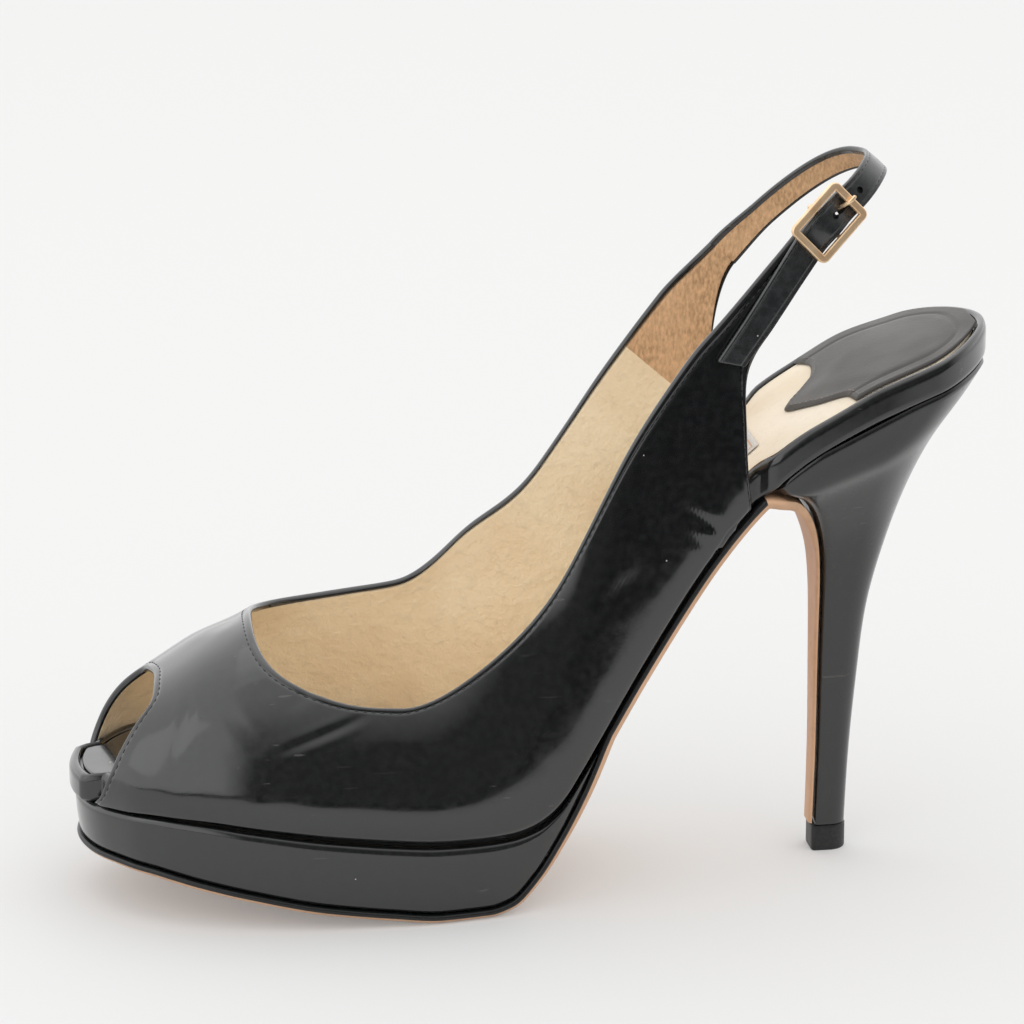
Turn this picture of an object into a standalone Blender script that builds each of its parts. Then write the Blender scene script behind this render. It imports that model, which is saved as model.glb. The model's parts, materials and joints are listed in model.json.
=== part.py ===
"""Peep toe platform slingback pump, left shoe, at real size in metres.

The toe points along -X and the outer side of the foot along -Y. The origin is
on the floor, under the middle of the flat tread at the ball of the foot. In the
tables "along" runs from the toe tip, 0, to the back of the seat, 1.
"""

import math

import bmesh
import bpy
import numpy as np

# Last and sole
LENGTH = 0.2135
BALL_WIDTH = 0.0732
SEAT_WIDTH = 0.0500
SEAT_HEIGHT = 0.1215
TOE_SPRING = 0.0121
TOE_ROUND = 0.0140
SEAT_ROUND = 0.0160
VAMP_HEIGHT = 0.0400

# Thicknesses
PLATFORM = 0.0162
OUTSOLE_EDGE = 0.0019
OUTSOLE_CROWN = 0.0011
TREAD_CROWN = 0.0003
INSOLE = 0.0062
SOCK = 0.0008
PAD = 0.0008
RECESS = 0.0016
SOCK_MARGIN = 0.0031
TOE_LIP = 0.0010
LABEL = 0.0003
UPPER_WALL = 0.0018
STRAP_LEATHER = 0.0014
GAP = 0.0003
BULGE = 0.0014
BULGE_AT = 0.0090

# Seat pad and label
PAD_MARGIN = 0.0042
LABEL_START, LABEL_END = 0.600, 0.742
LABEL_WIDTH = 0.0200

# Heel and top lift
HEEL_FRONT, HEEL_BACK = 0.748, 0.9965
HEEL_MARGIN = 0.0006
HEEL_ROLL = 0.0009
HEEL_HOLLOW = 0.0008
TIP_WIDTH = 0.0076
TIP_HEIGHT = 0.0062
TIP_PROUD = 0.0002
FLAP = 0.0008

# Strap and buckle
STRAP_HEIGHT = 0.1670
STRAP_WIDTH = 0.0074
STRAP_LEAN = 48.0
STRAP_ROUND = 0.0005
FREE_END = 0.0385
JOINT_BACK = 0.0100
HOLE_WIDTH = 0.0016
HOLE_PITCH = 0.0060
BUCKLE_OPENING_WIDTH = 0.0086
BUCKLE_OPENING_LENGTH = 0.0130
BUCKLE_WIRE = 0.0015
BUCKLE_BAR = 0.0012
BUCKLE_CORNER = 0.0012
BUCKLE_HEIGHT = 0.942
EYE_LEATHER = 0.0010
PRONG_WIRE = 0.0009
PRONG_HOLE_AT = 0.0046
PRONG_DIP = 0.0003
PRONG_TIP = 0.0010

# Points across the upper's wall, from its lower edge to its topline
UPPER_ROWS = 8

TREAD_FRONT, TREAD_BACK = 0.382, 0.431
TREAD_CENTRE = 0.5 * (TREAD_FRONT + TREAD_BACK) * LENGTH
TREAD_STACK = PLATFORM + OUTSOLE_EDGE + 2.0 * GAP + TREAD_CROWN
OUTER, INNER = -1, 1


def table(columns, *rows):
    """Rows of numbers as a dictionary of named columns."""
    return dict(zip(columns.split(), (np.array(values, float) for values in zip(*rows))))


# Heights of the two sole lines. The climbs are shares of the rise to the seat,
# and the springs are shares of the rise to the toe.
SOLE_LINES = table(
    "along insole_climb insole_spring sole_climb sole_spring",
    (0.000, 0.000, 0.49, 0.000, 1.000),
    (0.031, 0.000, 0.56, 0.000, 0.990),
    (0.070, 0.000, 0.60, 0.000, 0.926),
    (0.122, 0.000, 0.56, 0.000, 0.735),
    (0.177, 0.000, 0.44, 0.000, 0.537),
    (0.252, 0.000, 0.26, 0.000, 0.281),
    (0.328, 0.000, 0.10, 0.000, 0.099),
    (0.382, 0.000, 0.02, 0.000, 0.000),
    (0.431, 0.000, 0.00, 0.000, 0.000),
    (0.455, 0.002, 0.00, 0.010, 0.000),
    (0.482, 0.013, 0.00, 0.054, 0.000),
    (0.510, 0.050, 0.00, 0.126, 0.000),
    (0.538, 0.130, 0.00, 0.217, 0.000),
    (0.566, 0.222, 0.00, 0.330, 0.000),
    (0.596, 0.322, 0.00, 0.450, 0.000),
    (0.638, 0.458, 0.00, 0.600, 0.000),
    (0.684, 0.598, 0.00, 0.740, 0.000),
    (0.727, 0.708, 0.00, 0.850, 0.000),
    (0.757, 0.768, 0.00, 0.900, 0.000),
    (0.793, 0.826, 0.00, 0.950, 0.000),
    (0.835, 0.877, 0.00, 1.000, 0.000),
    (0.870, 0.913, 0.00, 1.050, 0.000),
    (0.927, 0.956, 0.00, 1.100, 0.000),
    (0.970, 0.983, 0.00, 1.150, 0.000),
    (1.000, 1.000, 0.00, 1.200, 0.000),
)

# Half widths. The ball columns are shares of half the ball width, and the seat
# column is a share of half the seat width that is added to them.
OUTLINE = table(
    "along outer_ball inner_ball seat",
    (0.000, 0.560, 0.550, 0.00),
    (0.030, 0.590, 0.575, 0.00),
    (0.056, 0.664, 0.635, 0.00),
    (0.094, 0.792, 0.765, 0.00),
    (0.173, 0.951, 0.915, 0.00),
    (0.258, 1.025, 0.962, 0.00),
    (0.347, 1.038, 0.935, 0.00),
    (0.431, 0.984, 0.850, 0.00),
    (0.520, 0.700, 0.520, 0.22),
    (0.609, 0.380, 0.240, 0.48),
    (0.693, 0.140, 0.080, 0.74),
    (0.778, 0.020, 0.000, 0.94),
    (0.866, 0.000, 0.000, 1.00),
    (0.927, 0.000, 0.000, 0.93),
    (1.000, 0.000, 0.000, 0.70),
)

# Height at which each wall of the upper would close over the foot, as a share
# of the vamp's height at the throat.
VAULT = table(
    "along outer inner",
    (0.000, 0.16, 0.16),
    (0.023, 0.40, 0.40),
    (0.047, 0.51, 0.51),
    (0.087, 0.64, 0.64),
    (0.140, 0.83, 0.83),
    (0.194, 1.01, 1.01),
    (0.233, 1.08, 1.18),
    (0.290, 1.13, 1.38),
    (0.375, 1.17, 1.68),
    (0.447, 1.46, 2.38),
    (0.500, 1.82, 2.82),
    (0.557, 2.28, 3.25),
    (0.602, 2.68, 3.45),
    (0.645, 2.98, 3.52),
    (0.690, 3.18, 3.50),
    (0.720, 3.18, 3.50),
    (0.780, 3.10, 3.40),
)

# The upper's strip, from the middle of the vamp back along each side. The
# first pair is its lower edge (peep, feather line and rear edge), the second
# its topline; heights are shares of the vault. The last column is the number
# of columns of the mesh up to the next row.
OUTER_STRIP = table(
    "low_along low_height top_along top_height columns",
    (0.0870, 1.000, 0.1950, 1.000, 3),
    (0.0795, 0.945, 0.1925, 0.985, 2),
    (0.0570, 0.830, 0.1960, 0.900, 2),
    (0.0400, 0.660, 0.2120, 0.820, 2),
    (0.0240, 0.300, 0.2390, 0.750, 2),
    (0.0150, 0.000, 0.2680, 0.700, 4),
    (0.0900, 0.000, 0.3020, 0.675, 3),
    (0.2100, 0.000, 0.3480, 0.672, 3),
    (0.3280, 0.000, 0.4030, 0.718, 3),
    (0.4310, 0.000, 0.4540, 0.720, 2),
    (0.5060, 0.000, 0.5060, 0.682, 2),
    (0.5720, 0.000, 0.5480, 0.625, 2),
    (0.6370, 0.000, 0.5900, 0.560, 2),
    (0.6880, 0.000, 0.6270, 0.500, 2),
    (0.7230, 0.000, 0.6480, 0.474, 2),
    (0.7185, 0.090, 0.6570, 0.463, 2),
    (0.7168, 0.170, 0.6640, 0.456, 2),
    (0.7168, 0.235, 0.6690, 0.450, 1),
)
INNER_STRIP = table(
    "low_along low_height top_along top_height columns",
    (0.0870, 1.000, 0.1950, 1.000, 3),
    (0.0795, 0.945, 0.1960, 0.985, 2),
    (0.0570, 0.830, 0.2050, 0.910, 2),
    (0.0400, 0.660, 0.2250, 0.835, 2),
    (0.0240, 0.300, 0.2560, 0.770, 2),
    (0.0150, 0.000, 0.2900, 0.725, 4),
    (0.0900, 0.000, 0.3280, 0.698, 3),
    (0.2100, 0.000, 0.3750, 0.655, 3),
    (0.3280, 0.000, 0.4200, 0.604, 3),
    (0.4310, 0.000, 0.4600, 0.590, 2),
    (0.5060, 0.000, 0.5060, 0.548, 2),
    (0.5720, 0.000, 0.5520, 0.494, 2),
    (0.6370, 0.000, 0.5950, 0.462, 2),
    (0.6880, 0.000, 0.6320, 0.441, 2),
    (0.7400, 0.000, 0.6640, 0.428, 3),
    (0.7250, 0.080, 0.6760, 0.420, 2),
    (0.7070, 0.160, 0.6860, 0.415, 1),
)

# Middle of the strap's path, from the outer quarter round the back of the heel
# to the inner quarter. Sides are shares of half the seat width, heights of the
# strap's height at the back.
STRAP_PATH = table(
    "along side height",
    (0.6780, -0.905, 0.717),
    (0.6990, -0.885, 0.759),
    (0.7210, -0.855, 0.798),
    (0.7460, -0.812, 0.843),
    (0.7835, -0.715, 0.909),
    (0.8050, -0.650, 0.942),
    (0.8390, -0.520, 0.974),
    (0.8610, -0.330, 0.995),
    (0.8740, 0.000, 1.003),
    (0.8640, 0.300, 0.998),
    (0.8440, 0.490, 0.983),
    (0.8180, 0.620, 0.958),
    (0.7700, 0.745, 0.903),
    (0.7240, 0.815, 0.840),
    (0.7000, 0.840, 0.800),
)

# Edges of the two quarter straps each side of the path, as shares of the strap's
# width. Reach is the distance from the buckle's bar or from the joint, as a
# share of the free end's length.
OUTER_STRAP = table(
    "reach upper lower",
    (0.00, 0.49, 0.49),
    (0.06, 0.49, 0.49),
    (0.17, 0.54, 0.58),
    (0.56, 0.79, 0.58),
    (1.02, 1.06, 0.55),
)
INNER_STRAP = table(
    "reach upper lower",
    (0.00, 0.56, 0.52),
    (0.12, 0.62, 0.58),
    (0.28, 0.74, 0.56),
)

# Heel sections from the top lift up to the seat. Front and back are a point of
# each section on the breast and on the back of the heel; along is a share of the
# shoe's length, height of the seat's height, width of the seat's width.
HEEL_SECTIONS = table(
    "front_along front_height back_along back_height width",
    (0.8185, 0.0560, 0.8545, 0.0560, 0.146),
    (0.8205, 0.2200, 0.8590, 0.2230, 0.164),
    (0.8205, 0.3700, 0.8665, 0.3750, 0.190),
    (0.8205, 0.4900, 0.8755, 0.5030, 0.226),
    (0.8190, 0.5850, 0.8910, 0.6120, 0.300),
    (0.8130, 0.6560, 0.9090, 0.7120, 0.440),
    (0.8010, 0.7130, 0.9270, 0.7930, 0.620),
    (0.7840, 0.7510, 0.9460, 0.8600, 0.790),
    (0.7640, 0.7690, 0.9670, 0.9160, 0.920),
)

# The pad's front edge, a bracket with its point on the middle line. Side is a
# share of the pad's half width.
PAD_FRONT = table(
    "side along",
    (-1.00, 0.837),
    (-0.75, 0.833),
    (-0.45, 0.802),
    (-0.12, 0.778),
    (0.10, 0.797),
    (0.35, 0.816),
    (0.65, 0.822),
    (1.00, 0.811),
)


def smooth_curve(xs, ys):
    """Monotone cubic through the points, so level stretches stay level."""
    xs, ys = np.asarray(xs, float), np.asarray(ys, float)
    width = np.diff(xs)
    slope = np.diff(ys) / width
    tangent = np.zeros(len(xs))
    tangent[0], tangent[-1] = slope[0], slope[-1]
    for i in range(1, len(xs) - 1):
        if slope[i - 1] * slope[i] > 0.0:
            before, after = 2.0 * width[i] + width[i - 1], width[i] + 2.0 * width[i - 1]
            tangent[i] = (before + after) / (before / slope[i - 1] + after / slope[i])

    def value(x):
        x = np.clip(np.asarray(x, float), xs[0], xs[-1])
        i = np.clip(np.searchsorted(xs, x, side="right") - 1, 0, len(xs) - 2)
        t = (x - xs[i]) / width[i]
        rise = (3.0 - 2.0 * t) * t * t
        lead = t * (1.0 - t) ** 2 * width[i] * tangent[i]
        trail = t * t * (t - 1.0) * width[i] * tangent[i + 1]
        return ys[i] + (ys[i + 1] - ys[i]) * rise + lead + trail

    return value


def column(source, name, along="along"):
    return smooth_curve(source[along], source[name])


def unit(vectors):
    return vectors / np.maximum(np.linalg.norm(vectors, axis=-1, keepdims=True), 1e-12)


def blend(value, start, end):
    t = np.clip((value - start) / (end - start), 0.0, 1.0)
    return t * t * (3.0 - 2.0 * t)


def world(points):
    """Points measured from the toe tip, moved to the part's own origin."""
    moved = np.array(points, float)
    moved[..., 0] -= TREAD_CENTRE
    return moved


INSOLE_CLIMB = column(SOLE_LINES, "insole_climb")
INSOLE_SPRING = column(SOLE_LINES, "insole_spring")
SOLE_CLIMB = column(SOLE_LINES, "sole_climb")
SOLE_SPRING = column(SOLE_LINES, "sole_spring")


def feather_height(along):
    """Underside of the insole, where the upper meets the sole."""
    rise = (SEAT_HEIGHT - TREAD_STACK) * INSOLE_CLIMB(along)
    return TREAD_STACK + rise + TOE_SPRING * INSOLE_SPRING(along)


def feather_slope(along, step=0.004):
    fore, back = np.maximum(along - step, 0.0), np.minimum(along + step, 1.0)
    return (feather_height(back) - feather_height(fore)) / ((back - fore) * LENGTH)


def upright_gap(along, gap=GAP):
    """Upright distance that leaves the gap square to the sloping insole."""
    return gap * np.sqrt(1.0 + feather_slope(along) ** 2)


def outsole_height(along):
    """Top of the outsole's edge."""
    thick = OUTSOLE_EDGE + TREAD_CROWN
    rise = (SEAT_HEIGHT - thick) * SOLE_CLIMB(along)
    free = thick + rise + TOE_SPRING * SOLE_SPRING(along)
    return np.minimum(free, feather_height(along) - upright_gap(along))


def half_width(along, side):
    ball = column(OUTLINE, "outer_ball" if side == OUTER else "inner_ball")(along)
    seat = column(OUTLINE, "seat")(along)
    width = 0.5 * (BALL_WIDTH * ball + SEAT_WIDTH * seat)
    toe = np.clip(1.0 - along * LENGTH / TOE_ROUND, 0.0, 1.0)
    back = np.clip(1.0 - (1.0 - along) * LENGTH / SEAT_ROUND, 0.0, 1.0)
    return width * np.sqrt(np.clip((1.0 - toe**2) * (1.0 - back**2), 0.0, 1.0))


def stations(start, end, middle, toe=0, back=0):
    """Shares of the length, closer together round the toe and the seat's back."""
    first, last = start, end
    parts = []
    if toe:
        first = TOE_ROUND / LENGTH
        turn = np.linspace(0.0, 0.5 * math.pi, toe + 1)
        parts.append(start + (first - start) * (1.0 - np.cos(turn))[:-1])
    if back:
        last = 1.0 - SEAT_ROUND / LENGTH
    parts.append(np.linspace(first, last, middle))
    if back:
        turn = np.linspace(0.0, 0.5 * math.pi, back + 1)
        parts.append(last + (end - last) * np.sin(turn)[1:])
    return np.concatenate(parts)


def plan_edges(along, inset):
    """The outline at these stations, moved inwards, as outer and inner points.

    inset is one distance for both sides, or a pair of them.
    """
    outer = np.stack([along * LENGTH, -half_width(along, OUTER)], axis=1)
    inner = np.stack([along * LENGTH, half_width(along, INNER)], axis=1)
    insets = inset if isinstance(inset, tuple) else (inset, inset)
    edges = []
    for mine, other, distance in ((outer, inner, insets[0]), (inner, outer, insets[1])):
        distance = np.broadcast_to(distance, along.shape)
        before = other[1] if abs(mine[0, 1]) < 1e-9 else 2.0 * mine[0] - mine[1]
        after = other[-2] if abs(mine[-1, 1]) < 1e-9 else 2.0 * mine[-1] - mine[-2]
        line = np.vstack([before, mine, after])
        tangent = unit(line[2:] - line[:-2])
        inwards = np.stack([-tangent[:, 1], tangent[:, 0]], axis=1)
        if mine is inner:
            inwards = -inwards
        moved = mine + inwards * distance[:, None]
        centre_side = np.sign(mine[1, 1])
        moved[:, 1] = centre_side * np.maximum(centre_side * moved[:, 1], 0.0)
        edges.append(moved)
    return edges


def add_object(name, vertices, faces, finish, weld=1e-6):
    """One named solid from points and faces, with its own material."""
    mesh = bpy.data.meshes.new(name)
    mesh.from_pydata([tuple(point) for point in vertices], [], [tuple(face) for face in faces])
    shape = bmesh.new()
    shape.from_mesh(mesh)
    bmesh.ops.remove_doubles(shape, verts=shape.verts, dist=weld)
    bmesh.ops.recalc_face_normals(shape, faces=shape.faces)
    shape.to_mesh(mesh)
    shape.free()
    mesh.shade_smooth()
    mesh.set_sharp_from_angle(angle=math.radians(40.0))
    made = bpy.data.objects.new(name, mesh)
    bpy.context.scene.collection.objects.link(made)
    mesh.materials.append(material(name, *finish))
    return made


def material(name, colour, roughness, metallic=0.0):
    made = bpy.data.materials.new(name)
    made.use_nodes = True
    shader = made.node_tree.nodes["Principled BSDF"]
    shader.inputs["Base Color"].default_value = (*colour, 1.0)
    shader.inputs["Roughness"].default_value = roughness
    shader.inputs["Metallic"].default_value = metallic
    return made


def loft(rings, closed=True, caps=(True, True)):
    """Vertices and faces of a skin over rings of equal size."""
    rings = np.asarray(rings, float)
    count, size = rings.shape[:2]
    faces = []
    for i in range(count - 1):
        for k in range(size if closed else size - 1):
            a, b = i * size + k, i * size + (k + 1) % size
            faces.append((a, b, b + size, a + size))
    if caps[0]:
        faces.append(tuple(range(size)))
    if caps[1]:
        faces.append(tuple(range((count - 1) * size, count * size)))
    return rings.reshape(-1, 3), faces


def shell(outer, inner):
    """Closed wall between two grids of points."""
    outer, inner = np.asarray(outer, float), np.asarray(inner, float)
    rows, size = outer.shape[:2]
    total = rows * size
    faces = []
    for i in range(rows - 1):
        for k in range(size - 1):
            a = i * size + k
            quad = (a, a + 1, a + 1 + size, a + size)
            faces.append(quad)
            faces.append(tuple(total + v for v in reversed(quad)))
    edge = [k for k in range(size)]
    edge += [i * size + size - 1 for i in range(1, rows)]
    edge += [(rows - 1) * size + k for k in range(size - 2, -1, -1)]
    edge += [i * size for i in range(rows - 2, 0, -1)]
    for a, b in zip(edge, edge[1:] + edge[:1]):
        faces.append((b, a, total + a, total + b))
    return np.vstack([outer.reshape(-1, 3), inner.reshape(-1, 3)]), faces


def sheet_rings(along, sides, low, high, across):
    """Rings of a sheet with a shaped edge.

    sides lists (inset, level) up the edge, where level 0 is on the low surface and
    1 on the high one; low and high turn shares of the length into heights.
    """
    edges = [plan_edges(along, inset) for inset, _ in sides]
    rings = []
    for i in range(len(along)):
        ring = []
        runs = [(0, sides[0][1], True), (len(sides) - 1, sides[-1][1], False)]
        for step, level, forward in runs:
            outer, inner = edges[step][0][i], edges[step][1][i]
            shares = np.linspace(0.0, 1.0, across + 1)
            for share in shares if forward else shares[::-1]:
                ring.append((*(outer + (inner - outer) * share), level))
            middle = range(1, len(sides) - 1)
            for k in middle if forward else reversed(middle):
                ring.append((*edges[k][1 if forward else 0][i], sides[k][1]))
        points = np.array(ring)
        at = np.clip(points[:, 0] / LENGTH, 0.0, 1.0)
        bottom, top = low(at), high(at)
        points[:, 2] = bottom + (top - bottom) * points[:, 2]
        rings.append(points)
    return rings


def insole_top(along):
    """Top of the insole, its thickness measured square to its slope."""
    lip = 1.0 + 0.12 * blend(along, 0.80, 0.88) + 0.15 * blend(along, 0.90, 1.0)
    return feather_height(along) + upright_gap(along, INSOLE) * lip


def insole_floor(along):
    """Top of the insole inside its rim."""
    return insole_top(along) - upright_gap(along, RECESS)


# The upper's surface


def last_point(along, height, side):
    """A point of the upper's outer face; height is a share of the vault."""
    along, height = np.asarray(along, float), np.clip(height, 0.0, 1.0)
    vault = VAMP_HEIGHT * column(VAULT, "outer" if side == OUTER else "inner")(along)
    lift = vault * height
    narrowing = np.sqrt(np.clip(1.0 - height**2, 0.0, 1.0)) ** 0.8
    fullness = BULGE * (lift / BULGE_AT) * np.exp(1.0 - lift / BULGE_AT)
    reach = half_width(along, side) * narrowing + fullness * narrowing
    return np.stack([along * LENGTH, side * reach, feather_height(along) + lift], axis=-1)


def strap_points():
    """Points at even spacing along the middle of the strap."""
    knots = np.stack(
        [
            STRAP_PATH["along"] * LENGTH,
            STRAP_PATH["side"] * 0.5 * SEAT_WIDTH,
            STRAP_PATH["height"] * STRAP_HEIGHT,
        ],
        axis=1,
    )
    steps = np.concatenate([[0.0], np.cumsum(np.linalg.norm(np.diff(knots, axis=0), axis=1))])
    return natural_spline(steps, knots, np.linspace(0.0, steps[-1], 400))


def natural_spline(at, knots, wanted):
    """Natural cubic through the knots."""
    count = len(at)
    gaps = np.diff(at)
    system = np.eye(count)
    right = np.zeros_like(knots)
    for i in range(1, count - 1):
        system[i, i - 1 : i + 2] = gaps[i - 1], 2.0 * (gaps[i - 1] + gaps[i]), gaps[i]
        ahead = (knots[i + 1] - knots[i]) / gaps[i]
        behind = (knots[i] - knots[i - 1]) / gaps[i - 1]
        right[i] = 6.0 * (ahead - behind)
    bend = np.linalg.solve(system, right)
    i = np.clip(np.searchsorted(at, wanted, side="right") - 1, 0, count - 2)
    g = gaps[i][:, None]
    a, b = (at[i + 1] - wanted)[:, None], (wanted - at[i])[:, None]
    curve = (bend[i] * a**3 + bend[i + 1] * b**3) / (6.0 * g)
    curve += (knots[i] / g - bend[i] * g / 6.0) * a
    curve += (knots[i + 1] / g - bend[i + 1] * g / 6.0) * b
    return curve


class Strap:
    """The ribbon that the quarter straps and the sling strap share."""

    def __init__(self):
        points = strap_points()
        length = np.linalg.norm(np.diff(points, axis=0), axis=1)
        self.at = np.concatenate([[0.0], np.cumsum(length)])
        self.points = points
        tangent = unit(np.gradient(points, self.at, axis=0))
        lean = math.radians(STRAP_LEAN)
        upright = np.array([-math.sin(lean), 0.0, math.cos(lean)])
        width = unit(upright - tangent * (tangent @ upright)[:, None])
        self.tangent, self.width = tangent, width
        self.out = np.cross(tangent, width)
        back = int(np.argmax(points[:, 0]))
        if self.out[back, 0] < 0.0:
            self.out = -self.out
        near = points[:, 1] < 0.0
        distance = np.where(near, np.abs(points[:, 2] - BUCKLE_HEIGHT * STRAP_HEIGHT), 1.0)
        self.buckle = self.at[int(np.argmin(distance))]
        self.end = self.at[-1]

    def read(self, values, at):
        return np.stack([np.interp(at, self.at, values[:, k]) for k in range(3)], axis=-1)

    def frame(self, at):
        return (
            self.read(self.points, at),
            unit(self.read(self.tangent, at)),
            unit(self.read(self.width, at)),
            unit(self.read(self.out, at)),
        )

    def point(self, at, across, lift):
        """A point by distance along, distance across and height off the face."""
        middle, _, width, out = self.frame(at)
        return middle + width * np.asarray(across)[..., None] + out * np.asarray(lift)[..., None]


STRAP = Strap()


def strap_column(at, upper, lower, count):
    """Points across the strap's outer face, from the lower edge to the upper."""
    across = np.linspace(-lower, upper, count)
    return STRAP.point(np.full(count, at), across, np.zeros(count))


def strip_columns(strip, side):
    """Columns of the upper's outer face from the vamp's middle to the strap."""
    knots = np.concatenate([[0.0], np.cumsum(strip["columns"][:-1])])
    wanted = np.arange(0.0, knots[-1] + 0.5)
    low_along = smooth_curve(knots, strip["low_along"])(wanted)
    low_turn = smooth_curve(knots, np.arcsin(strip["low_height"]))(wanted)
    top_along = smooth_curve(knots, strip["top_along"])(wanted)
    top_turn = smooth_curve(knots, np.arcsin(strip["top_height"]))(wanted)
    shares = np.linspace(0.0, 1.0, UPPER_ROWS)
    columns = []
    for i in range(len(wanted)):
        along = low_along[i] + (top_along[i] - low_along[i]) * shares
        turn = low_turn[i] + (top_turn[i] - low_turn[i]) * shares
        columns.append(last_point(along, np.sin(turn), side))
    return columns


def quarter_strap(edges, root, end, count):
    """Columns of a quarter strap, from its root to its end."""
    columns = []
    for at in np.linspace(root, end, count):
        reach = abs(at - end) / FREE_END
        upper = STRAP_WIDTH * smooth_curve(edges["reach"], edges["upper"])(reach)
        lower = STRAP_WIDTH * smooth_curve(edges["reach"], edges["lower"])(reach)
        columns.append(strap_column(at, float(upper), float(lower), UPPER_ROWS))
    return columns


def upper_grid():
    """Outer face of the whole upper, from the outer strap to the inner one."""
    outer = strip_columns(OUTER_STRIP, OUTER)
    inner = strip_columns(INNER_STRIP, INNER)
    outer_root = STRAP.buckle - 1.02 * FREE_END
    outer_strap = quarter_strap(OUTER_STRAP, outer_root, STRAP.buckle, 12)
    inner_joint = STRAP.end - JOINT_BACK
    inner_strap = quarter_strap(INNER_STRAP, STRAP.end - 0.001, inner_joint, 4)
    outer_side = outer + outer_strap
    inner_side = inner + inner_strap
    columns = outer_side[::-1] + inner_side[1:]
    return np.array(columns)


def soften(grid, start, end, rounds=3):
    """Evens out the columns round a join."""
    for _ in range(rounds):
        middle = 0.25 * grid[start - 1 : end - 1] + 0.5 * grid[start:end] + 0.25 * grid[start + 1 : end + 1]
        grid[start:end] = middle
    return grid


def grid_normals(grid):
    """Outward normals of a grid of points."""
    along = np.gradient(grid, axis=0)
    up = np.gradient(grid, axis=1)
    return unit(np.cross(along, up))


def make_upper():
    grid = upper_grid()
    grid = soften(grid, 10, 15)
    grid = soften(grid, len(grid) - 6, len(grid) - 2)
    normals = grid_normals(grid)
    middle = len(grid) // 3
    if normals[middle, 2, 1] > 0.0:
        normals = -normals
    inside = grid - normals * UPPER_WALL
    feather = feather_height(np.clip(grid[:, 0, 0] / LENGTH, 0.0, 1.0))
    seated = np.abs(grid[:, 0, 2] - feather) < 1e-6
    level = unit(normals[:, 0] * np.array([1.0, 1.0, 0.0]))
    inside[seated, 0] = (grid[:, 0] - level * UPPER_WALL)[seated]
    inner_along = np.clip(inside[:, 0, 0] / LENGTH, 0.0, 1.0)
    inside[seated, 0, 2] = feather_height(inner_along)[seated]
    vertices, faces = shell(world(grid), world(inside))
    return add_object("upper", vertices, faces, ((0.012, 0.012, 0.013), 0.18))


def make_platform():
    sides = ((0.0022, 0.0), (0.0014, 0.10), (0.0004, 0.62), (0.0003, 0.88), (0.0016, 1.0))
    along = stations(0.0, 0.553, 24, toe=6)
    rings = sheet_rings(
        along,
        sides,
        lambda at: outsole_height(at) + upright_gap(at),
        lambda at: np.maximum(feather_height(at) - upright_gap(at), outsole_height(at) + 2.2 * upright_gap(at)),
        4,
    )
    vertices, faces = loft([world(ring) for ring in rings], caps=(False, True))
    return add_object("platform", vertices, faces, ((0.012, 0.012, 0.013), 0.18))


def insole_stations():
    """Stations of the insole and the sock, with one just before the upper starts."""
    upper_start = OUTER_STRIP["low_along"].min() - 0.0015
    return np.sort(np.append(stations(0.0, 1.0, 34, toe=6, back=6), upper_start))


def covered(along, side):
    """How far the insole stands in from the outline to make room for the upper."""
    strip = OUTER_STRIP if side == OUTER else INNER_STRIP
    on_sole = strip["low_along"][strip["low_height"] == 0.0]
    front = blend(along, on_sole.min() - 0.0065, on_sole.min() - 0.0015)
    rear = blend(along, on_sole.max() + 0.0060, on_sole.max() + 0.0120)
    lip = TOE_LIP * (1.0 - front)
    return (UPPER_WALL + 3.2 * GAP) * front * (1.0 - rear) - lip


def make_insole():
    along = insole_stations()

    def inset(extra):
        return tuple(covered(along, side) + extra for side in (OUTER, INNER))

    sides = (
        (inset(0.0007), 0.0),
        (inset(0.0), 0.14),
        (inset(0.0), 0.72),
        (inset(0.0005), 0.93),
        (inset(0.0014), 1.0),
        (inset(0.0028), 1.0 - RECESS / INSOLE),
    )
    rings = sheet_rings(along, sides, feather_height, insole_top, 4)
    vertices, faces = loft([world(ring) for ring in rings], caps=(False, False))
    return add_object("insole", vertices, faces, ((0.012, 0.012, 0.013), 0.22))


def make_sock():
    along = insole_stations()
    margins = tuple(covered(along, side) + SOCK_MARGIN for side in (OUTER, INNER))
    sides = ((margins, 0.0), (margins, 1.0))

    def low(at):
        return insole_floor(at) + upright_gap(at)

    rings = sheet_rings(along, sides, low, lambda at: low(at) + upright_gap(at, SOCK), 4)
    vertices, faces = loft([world(ring) for ring in rings], caps=(False, False))
    return add_object("sock_lining", vertices, faces, ((0.80, 0.70, 0.55), 0.6))


def sock_top(along):
    return insole_floor(along) + upright_gap(along, SOCK + GAP)


def seat_sheet(name, along, side, low, thick, finish):
    """A thin sheet over the sock, from a grid of shares along and distances across."""
    bottom = np.stack([along * LENGTH, side, low(along)], axis=-1)
    top = bottom + np.stack([0.0 * along, 0.0 * along, upright_gap(along, thick)], axis=-1)
    vertices, faces = shell(world(top), world(bottom))
    return add_object(name, vertices, faces, finish)


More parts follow.
